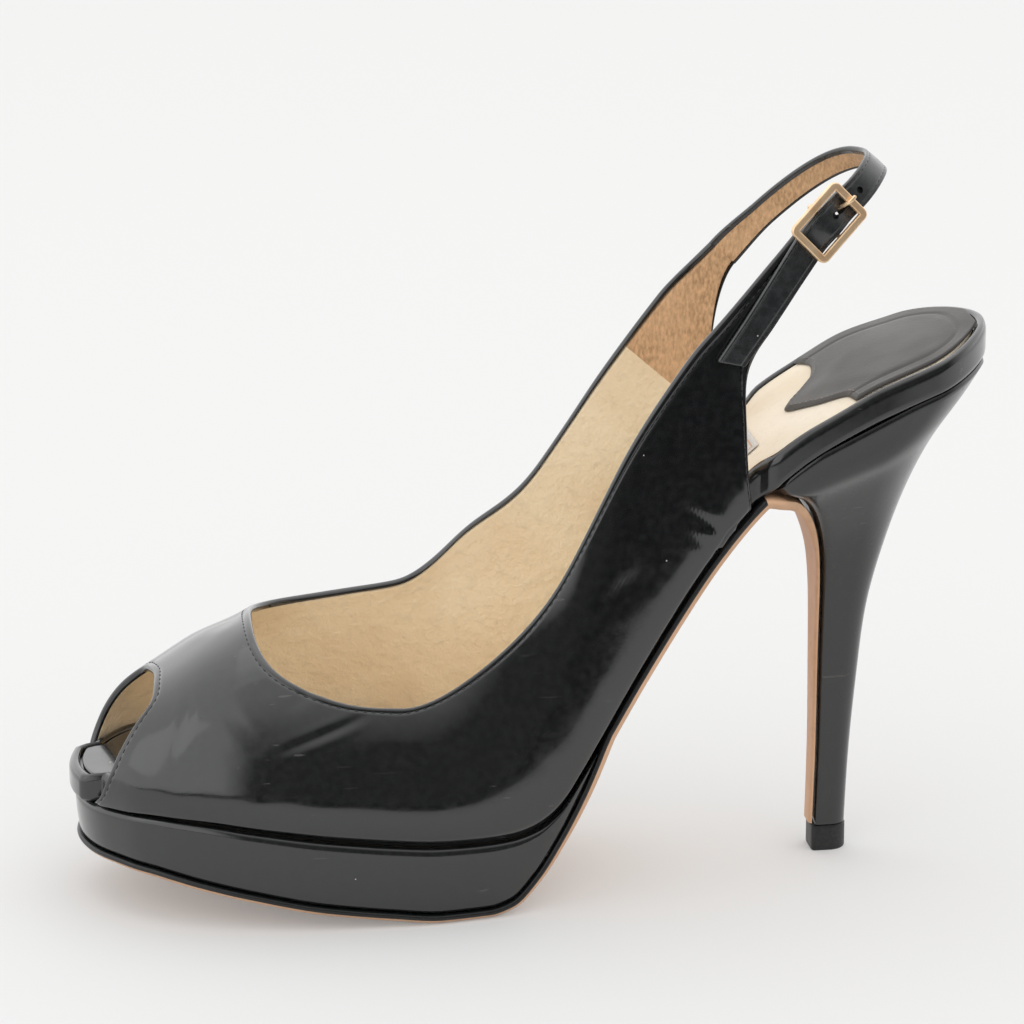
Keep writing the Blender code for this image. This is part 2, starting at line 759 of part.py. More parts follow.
def make_heel_pad():
    sides = np.array([-1.0, -0.8, -0.6, -0.45, -0.3, -0.2, -0.1, 0.0, 0.1, 0.2, 0.3, 0.45, 0.6, 0.8, 1.0])
    front = column(PAD_FRONT, "along", "side")(sides)
    end = 1.0 - PAD_MARGIN / LENGTH
    turn = np.sin(np.linspace(0.0, 0.5 * math.pi, 12))
    along = front[None, :] + (end - front[None, :]) * turn[:, None]
    shifted = np.clip(along + 0.5 * PAD_MARGIN / LENGTH, 0.0, 1.0)
    spread = np.maximum(half_width(shifted, OUTER) - PAD_MARGIN, 0.0)
    spread[-1] = 0.0

    def low(at):
        return sock_top(at) + upright_gap(at)

    return seat_sheet("heel_pad", along, spread * sides[None, :], low, PAD, ((0.05, 0.05, 0.05), 0.4))


def make_label():
    along, side = np.meshgrid(
        np.linspace(LABEL_START, LABEL_END, 9), 0.5 * LABEL_WIDTH * np.linspace(-1.0, 1.0, 3), indexing="ij"
    )

    def low(at):
        return sock_top(at) + upright_gap(at)

    return seat_sheet("label", along, side, low, LABEL, ((0.62, 0.62, 0.60), 0.5))


def sole_path():
    """Side view of the outsole's inner face: under the shoe, then down the breast."""
    along = np.concatenate([stations(0.0, 0.56, 22, toe=6), np.linspace(0.56, 0.738, 9)[1:]])
    base = np.stack([along * LENGTH, outsole_height(along)], axis=1)
    breast = (HEEL_SECTIONS["front_along"] * LENGTH, HEEL_SECTIONS["front_height"] * SEAT_HEIGHT)
    front = np.stack(breast, axis=1)[::-1]
    tangent = unit(np.gradient(np.vstack([base[-1], front]), axis=0))[1:]
    clear = front + np.stack([tangent[:, 1], -tangent[:, 0]], axis=1) * (2.0 * GAP)
    knots = np.vstack([base[-2:], clear])
    steps = np.concatenate([[0.0], np.cumsum(np.linalg.norm(np.diff(knots, axis=0), axis=1))])
    bend, straight = np.linspace(steps[1], steps[6], 12), np.linspace(steps[6], steps[-1], 6)
    wanted = np.concatenate([bend[1:], straight[1:]])
    flap = natural_spline(steps, knots, wanted)
    flap[-1, 1] = TIP_HEIGHT + 2.0 * GAP
    return along, base, flap


def make_outsole():
    along, base, flap = sole_path()
    path = np.vstack([base, flap])
    tangent = unit(np.gradient(path, axis=0))
    normal = np.stack([tangent[:, 1], -tangent[:, 0]], axis=1)
    crown_share = blend(path[:, 0] / LENGTH, 0.44, 0.56)
    thinning = blend(np.arange(len(flap)) / len(flap), 0.0, 0.7)
    crown = TREAD_CROWN + (OUTSOLE_CROWN - TREAD_CROWN) * crown_share
    crown[len(base) :] = OUTSOLE_CROWN + (0.3 * FLAP - OUTSOLE_CROWN) * thinning
    edge = np.full(len(path), OUTSOLE_EDGE)
    edge[len(base) :] = OUTSOLE_EDGE + (0.7 * FLAP - OUTSOLE_EDGE) * thinning
    half_widths = HEEL_SECTIONS["width"] * 0.5 * SEAT_WIDTH
    heel_width = smooth_curve(HEEL_SECTIONS["front_height"] * SEAT_HEIGHT, half_widths)
    rings = []
    sides = ((0.0004, 0.0, 0.0), (0.0, 0.15, 0.0), (0.0003, 1.0, 0.0), (0.0034, 1.0, 1.0))
    edges = [plan_edges(along, inset) for inset, _, _ in sides]
    for i, point in enumerate(path):
        ring = []
        for step, (inset, level, crowned) in enumerate(sides):
            depth = level * edge[i] + crowned * crown[i]
            if i < len(base):
                left, right = edges[step][0][i], edges[step][1][i]
            else:
                span = float(heel_width(point[1])) * 0.90 - inset * 0.30
                outer_end, inner_end = edges[step][0][-1], edges[step][1][-1]
                left = np.array([point[0], -min(span, -outer_end[1])])
                right = np.array([point[0], min(span, inner_end[1])])
            ring.append((left, right, depth))
        loop = []
        across = np.linspace(0.0, 1.0, 5)
        low_left, low_right, low_depth = ring[-1]
        top_left, top_right, top_depth = ring[0]
        for left, right, depth in ring[1:-1]:
            loop.append((left, depth))
        for share in across:
            loop.append((low_left + (low_right - low_left) * share, low_depth))
        for left, right, depth in reversed(ring[1:-1]):
            loop.append((right, depth))
        for share in across[::-1]:
            loop.append((top_left + (top_right - top_left) * share, top_depth))
        points = []
        for place, depth in loop:
            if i < len(base):
                share = np.clip(place[0] / LENGTH, 0.0, 1.0)
                surface = np.array([place[0], float(outsole_height(share))])
            else:
                surface = point
            side = surface + normal[i] * depth
            points.append((side[0], place[1], side[1]))
        rings.append(world(points))
    vertices, faces = loft(rings, caps=(False, True))
    return add_object("outsole", vertices, faces, ((0.60, 0.36, 0.20), 0.5))


def heel_ring(front, back, half, count):
    """A D shape: a flat breast with round corners, and a round back."""
    turns = np.linspace(0.0, 2.0 * math.pi, count, endpoint=False)
    middle, reach = 0.5 * (front + back), 0.5 * (back - front)
    points = []
    for turn in turns:
        lengthwise = math.cos(turn)
        side = math.sin(turn)
        if lengthwise < 0.0:
            lengthwise = -abs(lengthwise) ** 0.28
            side = math.copysign(abs(side) ** 0.45, side)
        place = middle + reach * lengthwise
        points.append((place[0], half * side, place[1]))
    return points


def seat_ring(count, shrink, drop):
    """The heel's top edge, just inside the seat's outline."""
    middle = 0.90
    points = []
    for turn in np.linspace(0.0, 2.0 * math.pi, count, endpoint=False):
        if math.cos(turn) >= 0.0:
            share = middle + (HEEL_BACK - middle) * math.cos(turn) ** 0.9
            side = math.sin(turn)
        else:
            share = middle - (middle - HEEL_FRONT) * abs(math.cos(turn)) ** 0.30
            side = math.copysign(abs(math.sin(turn)) ** 0.42, math.sin(turn))
        limit = float(half_width(share, OUTER)) - HEEL_MARGIN
        across = math.copysign(min(abs(side) * SEAT_WIDTH * 0.5, limit), side) if abs(side) > 1e-9 else 0.0
        centre = 0.885
        share = centre + (share - centre) * shrink
        height = float(feather_height(share) - upright_gap(share)) - drop
        points.append((share * LENGTH, across * shrink, height))
    return np.array(points)


def make_heel():
    count = 24
    rings = []
    for k in range(len(HEEL_SECTIONS["width"])):
        front, back = (
            np.array([HEEL_SECTIONS[end + "_along"][k] * LENGTH, HEEL_SECTIONS[end + "_height"][k] * SEAT_HEIGHT])
            for end in ("front", "back")
        )
        rings.append(np.array(heel_ring(front, back, HEEL_SECTIONS["width"][k] * 0.5 * SEAT_WIDTH, count)))
    rings[0][:, 2] = TIP_HEIGHT + GAP
    top = seat_ring(count, 1.0, 0.0)
    rings.append(0.5 * (rings[-1] + top) - np.array([0.0, 0.0, HEEL_HOLLOW]))
    rings.append(seat_ring(count, 1.0, HEEL_ROLL))
    for shrink in (0.985, 0.6, 0.2):
        rings.append(seat_ring(count, shrink, 0.0))
    vertices, faces = loft([world(ring) for ring in rings])
    return add_object("heel", vertices, faces, ((0.012, 0.012, 0.013), 0.18))


def make_heel_tip():
    count = 24
    front = HEEL_SECTIONS["front_along"][0] * LENGTH - FLAP
    back = HEEL_SECTIONS["back_along"][0] * LENGTH + TIP_PROUD
    rings = []
    for height, shrink in ((0.0, 0.97), (0.0004, 1.0), (TIP_HEIGHT, 1.0)):
        near, far = np.array([front, height]), np.array([back, height])
        centre = 0.5 * (near + far)
        near, far = centre + (near - centre) * shrink, centre + (far - centre) * shrink
        rings.append(world(heel_ring(near, far, 0.5 * TIP_WIDTH * shrink, count)))
    vertices, faces = loft(rings)
    return add_object("heel_tip", vertices, faces, ((0.02, 0.02, 0.02), 0.5))


STRAP_LIFT = 1.7 * GAP + 0.5 * STRAP_LEATHER
EYE_CENTRE = -0.4 * GAP
EYE_OUTER = 0.5 * BUCKLE_BAR + GAP + EYE_LEATHER
FRAME_LIFT = 2.7 * GAP + STRAP_LEATHER + 0.5 * BUCKLE_WIRE
RAIL = 0.5 * (BUCKLE_OPENING_LENGTH + BUCKLE_WIRE)
POST = 0.5 * (BUCKLE_OPENING_WIDTH + BUCKLE_WIRE)


def sling_lift(at):
    """Height of the sling strap's middle over the quarter strap's face."""
    from_bar = at - STRAP.buckle
    crest = EYE_CENTRE + EYE_OUTER + GAP + 0.5 * STRAP_LEATHER
    bump = 0.5 * (1.0 + math.cos(math.pi * min(abs(from_bar) / (0.92 * RAIL), 1.0)))
    settled = float(blend(from_bar, 1.8 * RAIL, 4.5 * RAIL))
    low = STRAP_LIFT + (-0.5 * STRAP_LEATHER - STRAP_LIFT) * settled
    return low + (crest - STRAP_LIFT) * bump


def sling_half(at, joint):
    """Half width of the sling strap, as a share of the strap's width."""
    fresh = blend(at, STRAP.buckle - FREE_END, STRAP.buckle)
    back = blend(at, STRAP.buckle, STRAP.buckle + 0.5 * FREE_END)
    seam = blend(at, joint - 0.35 * FREE_END, joint)
    return float(0.43 + 0.07 * fresh - 0.05 * back + 0.10 * seam)


def make_sling_strap():
    start = STRAP.buckle - FREE_END
    joint = STRAP.end - JOINT_BACK - GAP
    near = np.linspace(start, STRAP.buckle - 1.2 * RAIL, 12)
    bend = np.linspace(STRAP.buckle - 1.2 * RAIL, STRAP.buckle + 1.2 * RAIL, 17)[1:]
    rest = np.linspace(STRAP.buckle + 1.2 * RAIL, joint, 34)[1:]
    rings = []
    for at in np.concatenate([near, bend, rest]):
        half = STRAP_WIDTH * sling_half(at, joint)
        lift = sling_lift(at)
        thick = 0.5 * STRAP_LEATHER
        flat = half - STRAP_ROUND
        around = ((-half, -0.5), (-flat, -1.0), (0.0, -1.0), (flat, -1.0), (half, -0.5))
        around += tuple((-across, -level) for across, level in around)
        across = np.array([place[0] for place in around])
        lifts = np.array([place[1] for place in around]) * thick + lift
        rings.append(world(STRAP.point(np.full(len(around), at), across, lifts)))
    vertices, faces = loft(rings)
    strap = add_object("sling_strap", vertices, faces, ((0.012, 0.012, 0.013), 0.18))
    for number, (from_bar, length) in enumerate(HOLES):
        cut_hole(strap, number, from_bar, length)
    return strap


# Holes of the sling strap: distance from the buckle's bar, and length over width.
HOLES = (
    (PRONG_HOLE_AT - HOLE_PITCH * 0.42, 1.0),
    (PRONG_HOLE_AT, 2.8),
    (PRONG_HOLE_AT + HOLE_PITCH, 1.0),
)


def cutter_tube(name, centre, axis, across, radius, long_radius, depth, sides=12):
    """A hidden prism used to cut a hole."""
    axis, across = unit(axis), unit(across)
    other = np.cross(axis, across)
    rings = []
    for end in (-depth, depth):
        ring = []
        for turn in np.linspace(0.0, 2.0 * math.pi, sides, endpoint=False):
            round_axis = across * long_radius * math.cos(turn) + other * radius * math.sin(turn)
            ring.append(centre + axis * end + round_axis)
        rings.append(np.array(ring))
    vertices, faces = loft(rings)
    cutter = add_object(name, vertices, faces, ((0.5, 0.5, 0.5), 0.5))
    cutter.hide_render = True
    cutter.display_type = "WIRE"
    return cutter


def cut(target, cutter, name, operation="DIFFERENCE"):
    modifier = target.modifiers.new(name, "BOOLEAN")
    modifier.operation = operation
    modifier.object = cutter
    modifier.solver = "EXACT"
    return modifier


def cut_hole(strap, number, from_bar, length):
    at = STRAP.buckle + from_bar
    middle, tangent, _, out = STRAP.frame(at)
    centre = world(middle + out * sling_lift(at))
    radius = 0.5 * HOLE_WIDTH
    cutter = cutter_tube(f"hole_cutter_{number}", centre, out, tangent, radius, radius * length, 0.0020)
    cut(strap, cutter, f"hole_{number}")


def buckle_point(along, across, lift):
    """A point of the flat buckle, by its own axes."""
    middle, tangent, width, out = STRAP.frame(STRAP.buckle)
    return world(middle + tangent * along + width * across + out * lift)


def swept_wire(path, radii, closed, sides=8):
    """Rings of a wire along a path given in the buckle's own axes."""
    path = np.array(path, float)
    if closed:
        ahead, behind = np.roll(path, -1, axis=0), np.roll(path, 1, axis=0)
        tangent = unit(ahead - behind)
    else:
        tangent = unit(np.gradient(path, axis=0))
    rings = []
    reference = np.array([0.0, 0.0, 1.0]) if closed else np.array([0.0, 1.0, 0.0])
    for point, forward in zip(path, tangent):
        guide = reference if abs(forward @ reference) < 0.9 else np.array([1.0, 0.0, 0.0])
        side = unit(np.cross(forward, guide))
        up = np.cross(side, forward)
        ring = []
        for turn in np.linspace(0.0, 2.0 * math.pi, sides, endpoint=False) + math.pi / sides:
            place = point + side * radii[0] * math.cos(turn) + up * radii[1] * math.sin(turn)
            ring.append(buckle_point(*place))
        rings.append(ring)
    return np.array(rings)


def frame_loop():
    """The frame's middle line with its round corners, in the buckle's own axes."""
    loop = []
    for number, (along, across) in enumerate(((RAIL, POST), (-RAIL, POST), (-RAIL, -POST), (RAIL, -POST))):
        centre_along = along - math.copysign(BUCKLE_CORNER, along)
        centre_across = across - math.copysign(BUCKLE_CORNER, across)
        for turn in np.radians(90.0 * number + np.linspace(0.0, 90.0, 4)):
            along_here = centre_along + BUCKLE_CORNER * math.cos(turn)
            across_here = centre_across + BUCKLE_CORNER * math.sin(turn)
            loop.append((along_here, across_here, FRAME_LIFT))
    return loop


def make_buckle_frame():
    radius = 0.5 * BUCKLE_WIRE
    rings = swept_wire(frame_loop(), (radius, radius), True)
    count, size = rings.shape[:2]
    vertices, faces = loft(rings, caps=(False, False))
    for k in range(size):
        a, b = (count - 1) * size + k, (count - 1) * size + (k + 1) % size
        faces.append((a, b, (k + 1) % size, k))
    frame = add_object("buckle_frame", vertices, faces, ((0.80, 0.52, 0.30), 0.25, 1.0))
    bar = []
    depth = FRAME_LIFT - EYE_CENTRE
    for lift in np.linspace(FRAME_LIFT, EYE_CENTRE + 0.25 * depth, 3):
        bar.append((0.0, -POST, lift))
    bar.append((0.0, -POST + 0.25 * BUCKLE_BAR, EYE_CENTRE + 0.05 * depth))
    for across in np.linspace(-POST + BUCKLE_BAR, POST - BUCKLE_BAR, 4):
        bar.append((0.0, across, EYE_CENTRE))
    bar.append((0.0, POST - 0.25 * BUCKLE_BAR, EYE_CENTRE + 0.05 * depth))
    for lift in np.linspace(EYE_CENTRE + 0.25 * depth, FRAME_LIFT, 3):
        bar.append((0.0, POST, lift))
    rings = swept_wire_bar(bar, 0.5 * BUCKLE_BAR)
    vertices, faces = loft(rings)
    centre_bar = add_object("centre_bar_shape", vertices, faces, ((0.80, 0.52, 0.30), 0.25, 1.0))
    centre_bar.hide_render = True
    centre_bar.display_type = "WIRE"
    cut(frame, centre_bar, "centre_bar", "UNION")
    return frame


def swept_wire_bar(path, radius, sides=8):
    """Rings along a path that stays in the plane across the strap."""
    path = np.array(path, float)
    tangent = unit(np.gradient(path, axis=0))
    rings = []
    for point, forward in zip(path, tangent):
        side = np.array([1.0, 0.0, 0.0])
        up = np.cross(forward, side)
        ring = []
        for turn in np.linspace(0.0, 2.0 * math.pi, sides, endpoint=False):
            place = point + side * radius * math.cos(turn) + up * radius * math.sin(turn)
            ring.append(buckle_point(*place))
        rings.append(ring)
    return np.array(rings)


PRONG_LOOP = 0.5 * BUCKLE_BAR + 0.5 * PRONG_WIRE + 1.4 * GAP


def make_prong():
    tip_lift = FRAME_LIFT + 0.5 * BUCKLE_WIRE + 0.5 * PRONG_WIRE + GAP
    path = []
    for turn in np.radians(np.linspace(60.0, 320.0, 10)):
        path.append((PRONG_LOOP * math.cos(turn), 0.0, EYE_CENTRE + PRONG_LOOP * math.sin(turn)))
    path += [
        (0.50 * PRONG_HOLE_AT, 0.0, EYE_CENTRE - PRONG_DIP),
        (0.74 * PRONG_HOLE_AT, 0.0, EYE_CENTRE + 1.33 * PRONG_DIP),
        (PRONG_HOLE_AT, 0.0, 0.5 * FRAME_LIFT + 0.4 * PRONG_DIP),
        (RAIL - 1.8 * PRONG_TIP, 0.0, FRAME_LIFT + 0.8 * PRONG_DIP),
        (RAIL - 0.4 * PRONG_TIP, 0.0, tip_lift - 0.1 * PRONG_TIP),
        (RAIL + 0.4 * PRONG_TIP, 0.0, tip_lift),
        (RAIL + PRONG_TIP, 0.0, tip_lift - 0.1 * PRONG_TIP),
    ]
    path = np.array(path)
    tangent = unit(np.gradient(path, axis=0))
    rings = []
    for i, (point, forward) in enumerate(zip(path, tangent)):
        radius = 0.5 * PRONG_WIRE * (0.72 if i == len(path) - 1 else 1.0)
        side = np.array([0.0, 1.0, 0.0])
        up = np.cross(side, forward)
        ring = []
        for turn in np.linspace(0.0, 2.0 * math.pi, 8, endpoint=False):
            place = point + side * radius * math.cos(turn) + up * radius * math.sin(turn)
            ring.append(buckle_point(*place))
        rings.append(ring)
    vertices, faces = loft(np.array(rings))
    return add_object("buckle_prong", vertices, faces, ((0.80, 0.52, 0.30), 0.25, 1.0))


def make_strap_eye(upper):
    """The fold of the quarter strap round the centre bar, slotted for the pin."""
    half = 0.5 * STRAP_WIDTH
    inner, outer = 0.5 * BUCKLE_BAR + GAP, EYE_OUTER
    sides = 16
    rings = []
    for across in (-half, half):
        ring = []
        for turn in np.linspace(0.0, 2.0 * math.pi, sides, endpoint=False):
            ring.append(buckle_point(outer * math.cos(turn), across, EYE_CENTRE + outer * math.sin(turn)))
        rings.append(ring)
    vertices, faces = loft(np.array(rings))
    eye = add_object("strap_eye_shape", vertices, faces, ((0.5, 0.5, 0.5), 0.5))
    eye.hide_render = True
    eye.display_type = "WIRE"
    cut(upper, eye, "strap_eye", "UNION")
    _, tangent, width, _ = STRAP.frame(STRAP.buckle)
    centre = buckle_point(0.0, 0.0, EYE_CENTRE)
    bore = cutter_tube("bar_bore", centre, width, tangent, inner, inner, 1.8 * half, sides=12)
    cut(upper, bore, "bar_bore")
    side, depth, height = 0.5 * PRONG_WIRE + GAP, -2.37 * EYE_OUTER, 1.84 * EYE_OUTER
    corners = []
    for along in (-1.37 * EYE_OUTER, 2.11 * EYE_OUTER):
        around = ((-side, depth), (side, depth), (side, height), (-side, height))
        corners.append([buckle_point(along, across, lift) for across, lift in around])
    vertices, faces = loft(np.array(corners))
    slot = add_object("pin_slot", vertices, faces, ((0.5, 0.5, 0.5), 0.5))
    slot.hide_render = True
    slot.display_type = "WIRE"
    cut(upper, slot, "pin_slot")


def main():
    for old in list(bpy.data.objects):
        bpy.data.objects.remove(old, do_unlink=True)
    make_outsole()
    make_platform()
    make_insole()
    make_sock()
    make_heel_pad()
    make_label()
    upper = make_upper()
    make_strap_eye(upper)
    make_sling_strap()
    make_heel()
    make_heel_tip()
    make_buckle_frame()
    make_prong()


main()
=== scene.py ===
"""Peep toe platform slingback pump in black glazed leather, dressed over its solids.

Lengths are in metres. The toe points along -X, the outer side of the foot along
-Y, and the floor is at height 0. In the tables "along" runs from the toe tip, 0,
to the back of the seat, 1.
"""

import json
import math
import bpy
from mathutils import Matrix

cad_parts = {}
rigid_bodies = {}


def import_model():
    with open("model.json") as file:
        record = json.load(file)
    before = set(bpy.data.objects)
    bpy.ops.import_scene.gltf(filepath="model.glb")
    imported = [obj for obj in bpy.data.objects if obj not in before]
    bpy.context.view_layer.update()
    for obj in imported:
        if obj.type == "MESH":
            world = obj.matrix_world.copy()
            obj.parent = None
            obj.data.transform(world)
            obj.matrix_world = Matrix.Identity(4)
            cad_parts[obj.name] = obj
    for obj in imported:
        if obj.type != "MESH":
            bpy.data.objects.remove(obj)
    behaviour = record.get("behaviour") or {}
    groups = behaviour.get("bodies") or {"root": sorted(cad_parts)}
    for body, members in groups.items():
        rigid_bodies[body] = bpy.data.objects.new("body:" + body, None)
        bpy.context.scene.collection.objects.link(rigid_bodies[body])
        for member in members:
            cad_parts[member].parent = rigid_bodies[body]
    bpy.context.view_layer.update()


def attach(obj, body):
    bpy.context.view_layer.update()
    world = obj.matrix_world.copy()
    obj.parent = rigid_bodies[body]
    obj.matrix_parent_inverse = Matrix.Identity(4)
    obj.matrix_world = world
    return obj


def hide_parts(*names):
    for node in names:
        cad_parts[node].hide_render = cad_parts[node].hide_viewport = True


bl_info = {
    "name": "Peep toe pump",
    "version": (1, 0, 0),
    "blender": (4, 5, 0),
    "location": "View3D > Sidebar > Pump",
    "description": "Builds the leather, lining, sole, heel and buckle of a peep toe pump",
    "category": "Object",
}

import bmesh
import bpy
import numpy as np
from bpy.props import FloatProperty, FloatVectorProperty, PointerProperty
from bpy.types import Operator, Panel, PropertyGroup
from mathutils import Matrix, Vector, noise

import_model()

# Last and sole
LENGTH = 0.2135
BALL_WIDTH = 0.0732
SEAT_WIDTH = 0.0500
SEAT_HEIGHT = 0.1215
TOE_SPRING = 0.0121
TOE_ROUND = 0.0140
SEAT_ROUND = 0.0160
VAMP_HEIGHT = 0.0400
# Thicknesses
PLATFORM = 0.0162
OUTSOLE_EDGE = 0.0019
OUTSOLE_CROWN = 0.0011
INSOLE = 0.0062
SOCK = 0.0008
PAD = 0.0008
RECESS = 0.0016
SOCK_MARGIN = 0.0031
TOE_LIP = 0.0010
LABEL = 0.0003
UPPER_WALL = 0.0018
STRAP_LEATHER = 0.0014
GAP = 0.0003
BULGE = 0.0014
BULGE_AT = 0.0090
# Heel and top lift
TIP_WIDTH = 0.0076
TIP_HEIGHT = 0.0062
TIP_PROUD = 0.0002
FLAP = 0.0008
# Strap and buckle
STRAP_HEIGHT = 0.1670
STRAP_WIDTH = 0.0074
STRAP_LEAN = 48.0
FREE_END = 0.0385
HOLE_WIDTH = 0.0016
HOLE_PITCH = 0.0060
# Height of the buckle's middle, as a share of the strap's height
BUCKLE_HEIGHT = 0.942
BUCKLE_OPENING_WIDTH = 0.0086
BUCKLE_OPENING_LENGTH = 0.0130
BUCKLE_WIRE = 0.0015
BUCKLE_BAR = 0.0012
PRONG_WIRE = 0.0009
TREAD_FRONT, TREAD_BACK = 0.382, 0.431
TREAD_CENTRE = 0.5 * (TREAD_FRONT + TREAD_BACK) * LENGTH
TREAD_CROWN = 0.0003
TREAD_STACK = PLATFORM + OUTSOLE_EDGE + 2.0 * GAP + TREAD_CROWN
OUTER, INNER = -1, 1


def table(columns, *rows):
    """Rows of numbers as a dictionary of named columns."""
    return dict(zip(columns.split(), (np.array(values, float) for values in zip(*rows))))


# Heights of the two sole lines. The climbs are shares of the rise to the seat,
# and the springs are shares of the rise to the toe.
SOLE_LINES = table(
    "along insole_climb insole_spring sole_climb sole_spring",
    (0.000, 0.000, 0.49, 0.000, 1.000),
    (0.031, 0.000, 0.56, 0.000, 0.990),
    (0.070, 0.000, 0.60, 0.000, 0.926),
    (0.122, 0.000, 0.56, 0.000, 0.735),
    (0.177, 0.000, 0.44, 0.000, 0.537),
    (0.252, 0.000, 0.26, 0.000, 0.281),
    (0.328, 0.000, 0.10, 0.000, 0.099),
    (0.382, 0.000, 0.02, 0.000, 0.000),
    (0.431, 0.000, 0.00, 0.000, 0.000),
    (0.455, 0.002, 0.00, 0.010, 0.000),
    (0.482, 0.013, 0.00, 0.054, 0.000),
    (0.510, 0.050, 0.00, 0.126, 0.000),
    (0.538, 0.130, 0.00, 0.217, 0.000),
    (0.566, 0.222, 0.00, 0.330, 0.000),
    (0.596, 0.322, 0.00, 0.450, 0.000),
    (0.638, 0.458, 0.00, 0.600, 0.000),
    (0.684, 0.598, 0.00, 0.740, 0.000),
    (0.727, 0.708, 0.00, 0.850, 0.000),
    (0.757, 0.768, 0.00, 0.900, 0.000),
    (0.793, 0.826, 0.00, 0.950, 0.000),
    (0.835, 0.877, 0.00, 1.000, 0.000),
    (0.870, 0.913, 0.00, 1.050, 0.000),
    (0.927, 0.956, 0.00, 1.100, 0.000),
    (0.970, 0.983, 0.00, 1.150, 0.000),
    (1.000, 1.000, 0.00, 1.200, 0.000),
)
# Half widths. The ball columns are shares of half the ball width, and the seat
# column is a share of half the seat width that is added to them.
OUTLINE = table(
    "along outer_ball inner_ball seat",
    (0.000, 0.560, 0.550, 0.00),
    (0.030, 0.590, 0.575, 0.00),
    (0.056, 0.664, 0.635, 0.00),
    (0.094, 0.792, 0.765, 0.00),
    (0.173, 0.951, 0.915, 0.00),
    (0.258, 1.025, 0.962, 0.00),
    (0.347, 1.038, 0.935, 0.00),
    (0.431, 0.984, 0.850, 0.00),
    (0.520, 0.700, 0.520, 0.22),
    (0.609, 0.380, 0.240, 0.48),
    (0.693, 0.140, 0.080, 0.74),
    (0.778, 0.020, 0.000, 0.94),
    (0.866, 0.000, 0.000, 1.00),
    (0.927, 0.000, 0.000, 0.93),
    (1.000, 0.000, 0.000, 0.70),
)
# Height at which each wall of the upper would close over the foot, as a share
# of the vamp's height at the throat.
VAULT = table(
    "along outer inner",
    (0.000, 0.16, 0.16),
    (0.023, 0.40, 0.40),
    (0.047, 0.51, 0.51),
    (0.087, 0.64, 0.64),
    (0.140, 0.83, 0.83),
    (0.194, 1.01, 1.01),
    (0.233, 1.08, 1.18),
    (0.290, 1.13, 1.38),
    (0.375, 1.17, 1.68),
    (0.447, 1.46, 2.38),
    (0.500, 1.82, 2.82),
    (0.557, 2.28, 3.25),
    (0.602, 2.68, 3.45),
    (0.645, 2.98, 3.52),
    (0.690, 3.18, 3.50),
    (0.720, 3.18, 3.50),
    (0.780, 3.10, 3.40),
)
# The upper's strip, from the middle of the vamp back along each side. The
# first pair is its lower edge (peep, feather line and rear edge), the second
# its topline; heights are shares of the vault. The last column is the number
# of columns of the mesh up to the next row.
OUTER_STRIP = table(
    "low_along low_height top_along top_height columns",
    (0.0870, 1.000, 0.1950, 1.000, 3),
    (0.0795, 0.945, 0.1925, 0.985, 2),
    (0.0570, 0.830, 0.1960, 0.900, 2),
    (0.0400, 0.660, 0.2120, 0.820, 2),
    (0.0240, 0.300, 0.2390, 0.750, 2),
    (0.0150, 0.000, 0.2680, 0.700, 4),
    (0.0900, 0.000, 0.3020, 0.675, 3),
    (0.2100, 0.000, 0.3480, 0.672, 3),
    (0.3280, 0.000, 0.4030, 0.718, 3),
    (0.4310, 0.000, 0.4540, 0.720, 2),
    (0.5060, 0.000, 0.5060, 0.682, 2),
    (0.5720, 0.000, 0.5480, 0.625, 2),
    (0.6370, 0.000, 0.5900, 0.560, 2),
    (0.6880, 0.000, 0.6270, 0.500, 2),
    (0.7230, 0.000, 0.6480, 0.474, 2),
    (0.7185, 0.090, 0.6570, 0.463, 2),
    (0.7168, 0.170, 0.6640, 0.456, 2),
    (0.7168, 0.235, 0.6690, 0.450, 1),
)
INNER_STRIP = table(
    "low_along low_height top_along top_height columns",
    (0.0870, 1.000, 0.1950, 1.000, 3),
    (0.0795, 0.945, 0.1960, 0.985, 2),
    (0.0570, 0.830, 0.2050, 0.910, 2),
    (0.0400, 0.660, 0.2250, 0.835, 2),
    (0.0240, 0.300, 0.2560, 0.770, 2),
    (0.0150, 0.000, 0.2900, 0.725, 4),
    (0.0900, 0.000, 0.3280, 0.698, 3),
    (0.2100, 0.000, 0.3750, 0.655, 3),
    (0.3280, 0.000, 0.4200, 0.604, 3),
    (0.4310, 0.000, 0.4600, 0.590, 2),
    (0.5060, 0.000, 0.5060, 0.548, 2),
    (0.5720, 0.000, 0.5520, 0.494, 2),
    (0.6370, 0.000, 0.5950, 0.462, 2),
    (0.6880, 0.000, 0.6320, 0.441, 2),
    (0.7400, 0.000, 0.6640, 0.428, 3),
    (0.7250, 0.080, 0.6760, 0.420, 2),
    (0.7070, 0.160, 0.6860, 0.415, 1),
)
# Middle of the strap's path, from the outer quarter round the back of the heel
# to the inner quarter. Sides are shares of half the seat width, heights of the
# strap's height at the back.
STRAP_PATH = table(
    "along side height",
    (0.6780, -0.905, 0.717),
    (0.6990, -0.885, 0.759),
    (0.7210, -0.855, 0.798),
    (0.7460, -0.812, 0.843),
    (0.7835, -0.715, 0.909),
    (0.8050, -0.650, 0.942),
    (0.8390, -0.520, 0.974),
    (0.8610, -0.330, 0.995),
    (0.8740, 0.000, 1.003),
    (0.8640, 0.300, 0.998),
    (0.8440, 0.490, 0.983),
    (0.8180, 0.620, 0.958),
    (0.7700, 0.745, 0.903),
    (0.7240, 0.815, 0.840),
    (0.7000, 0.840, 0.800),
)
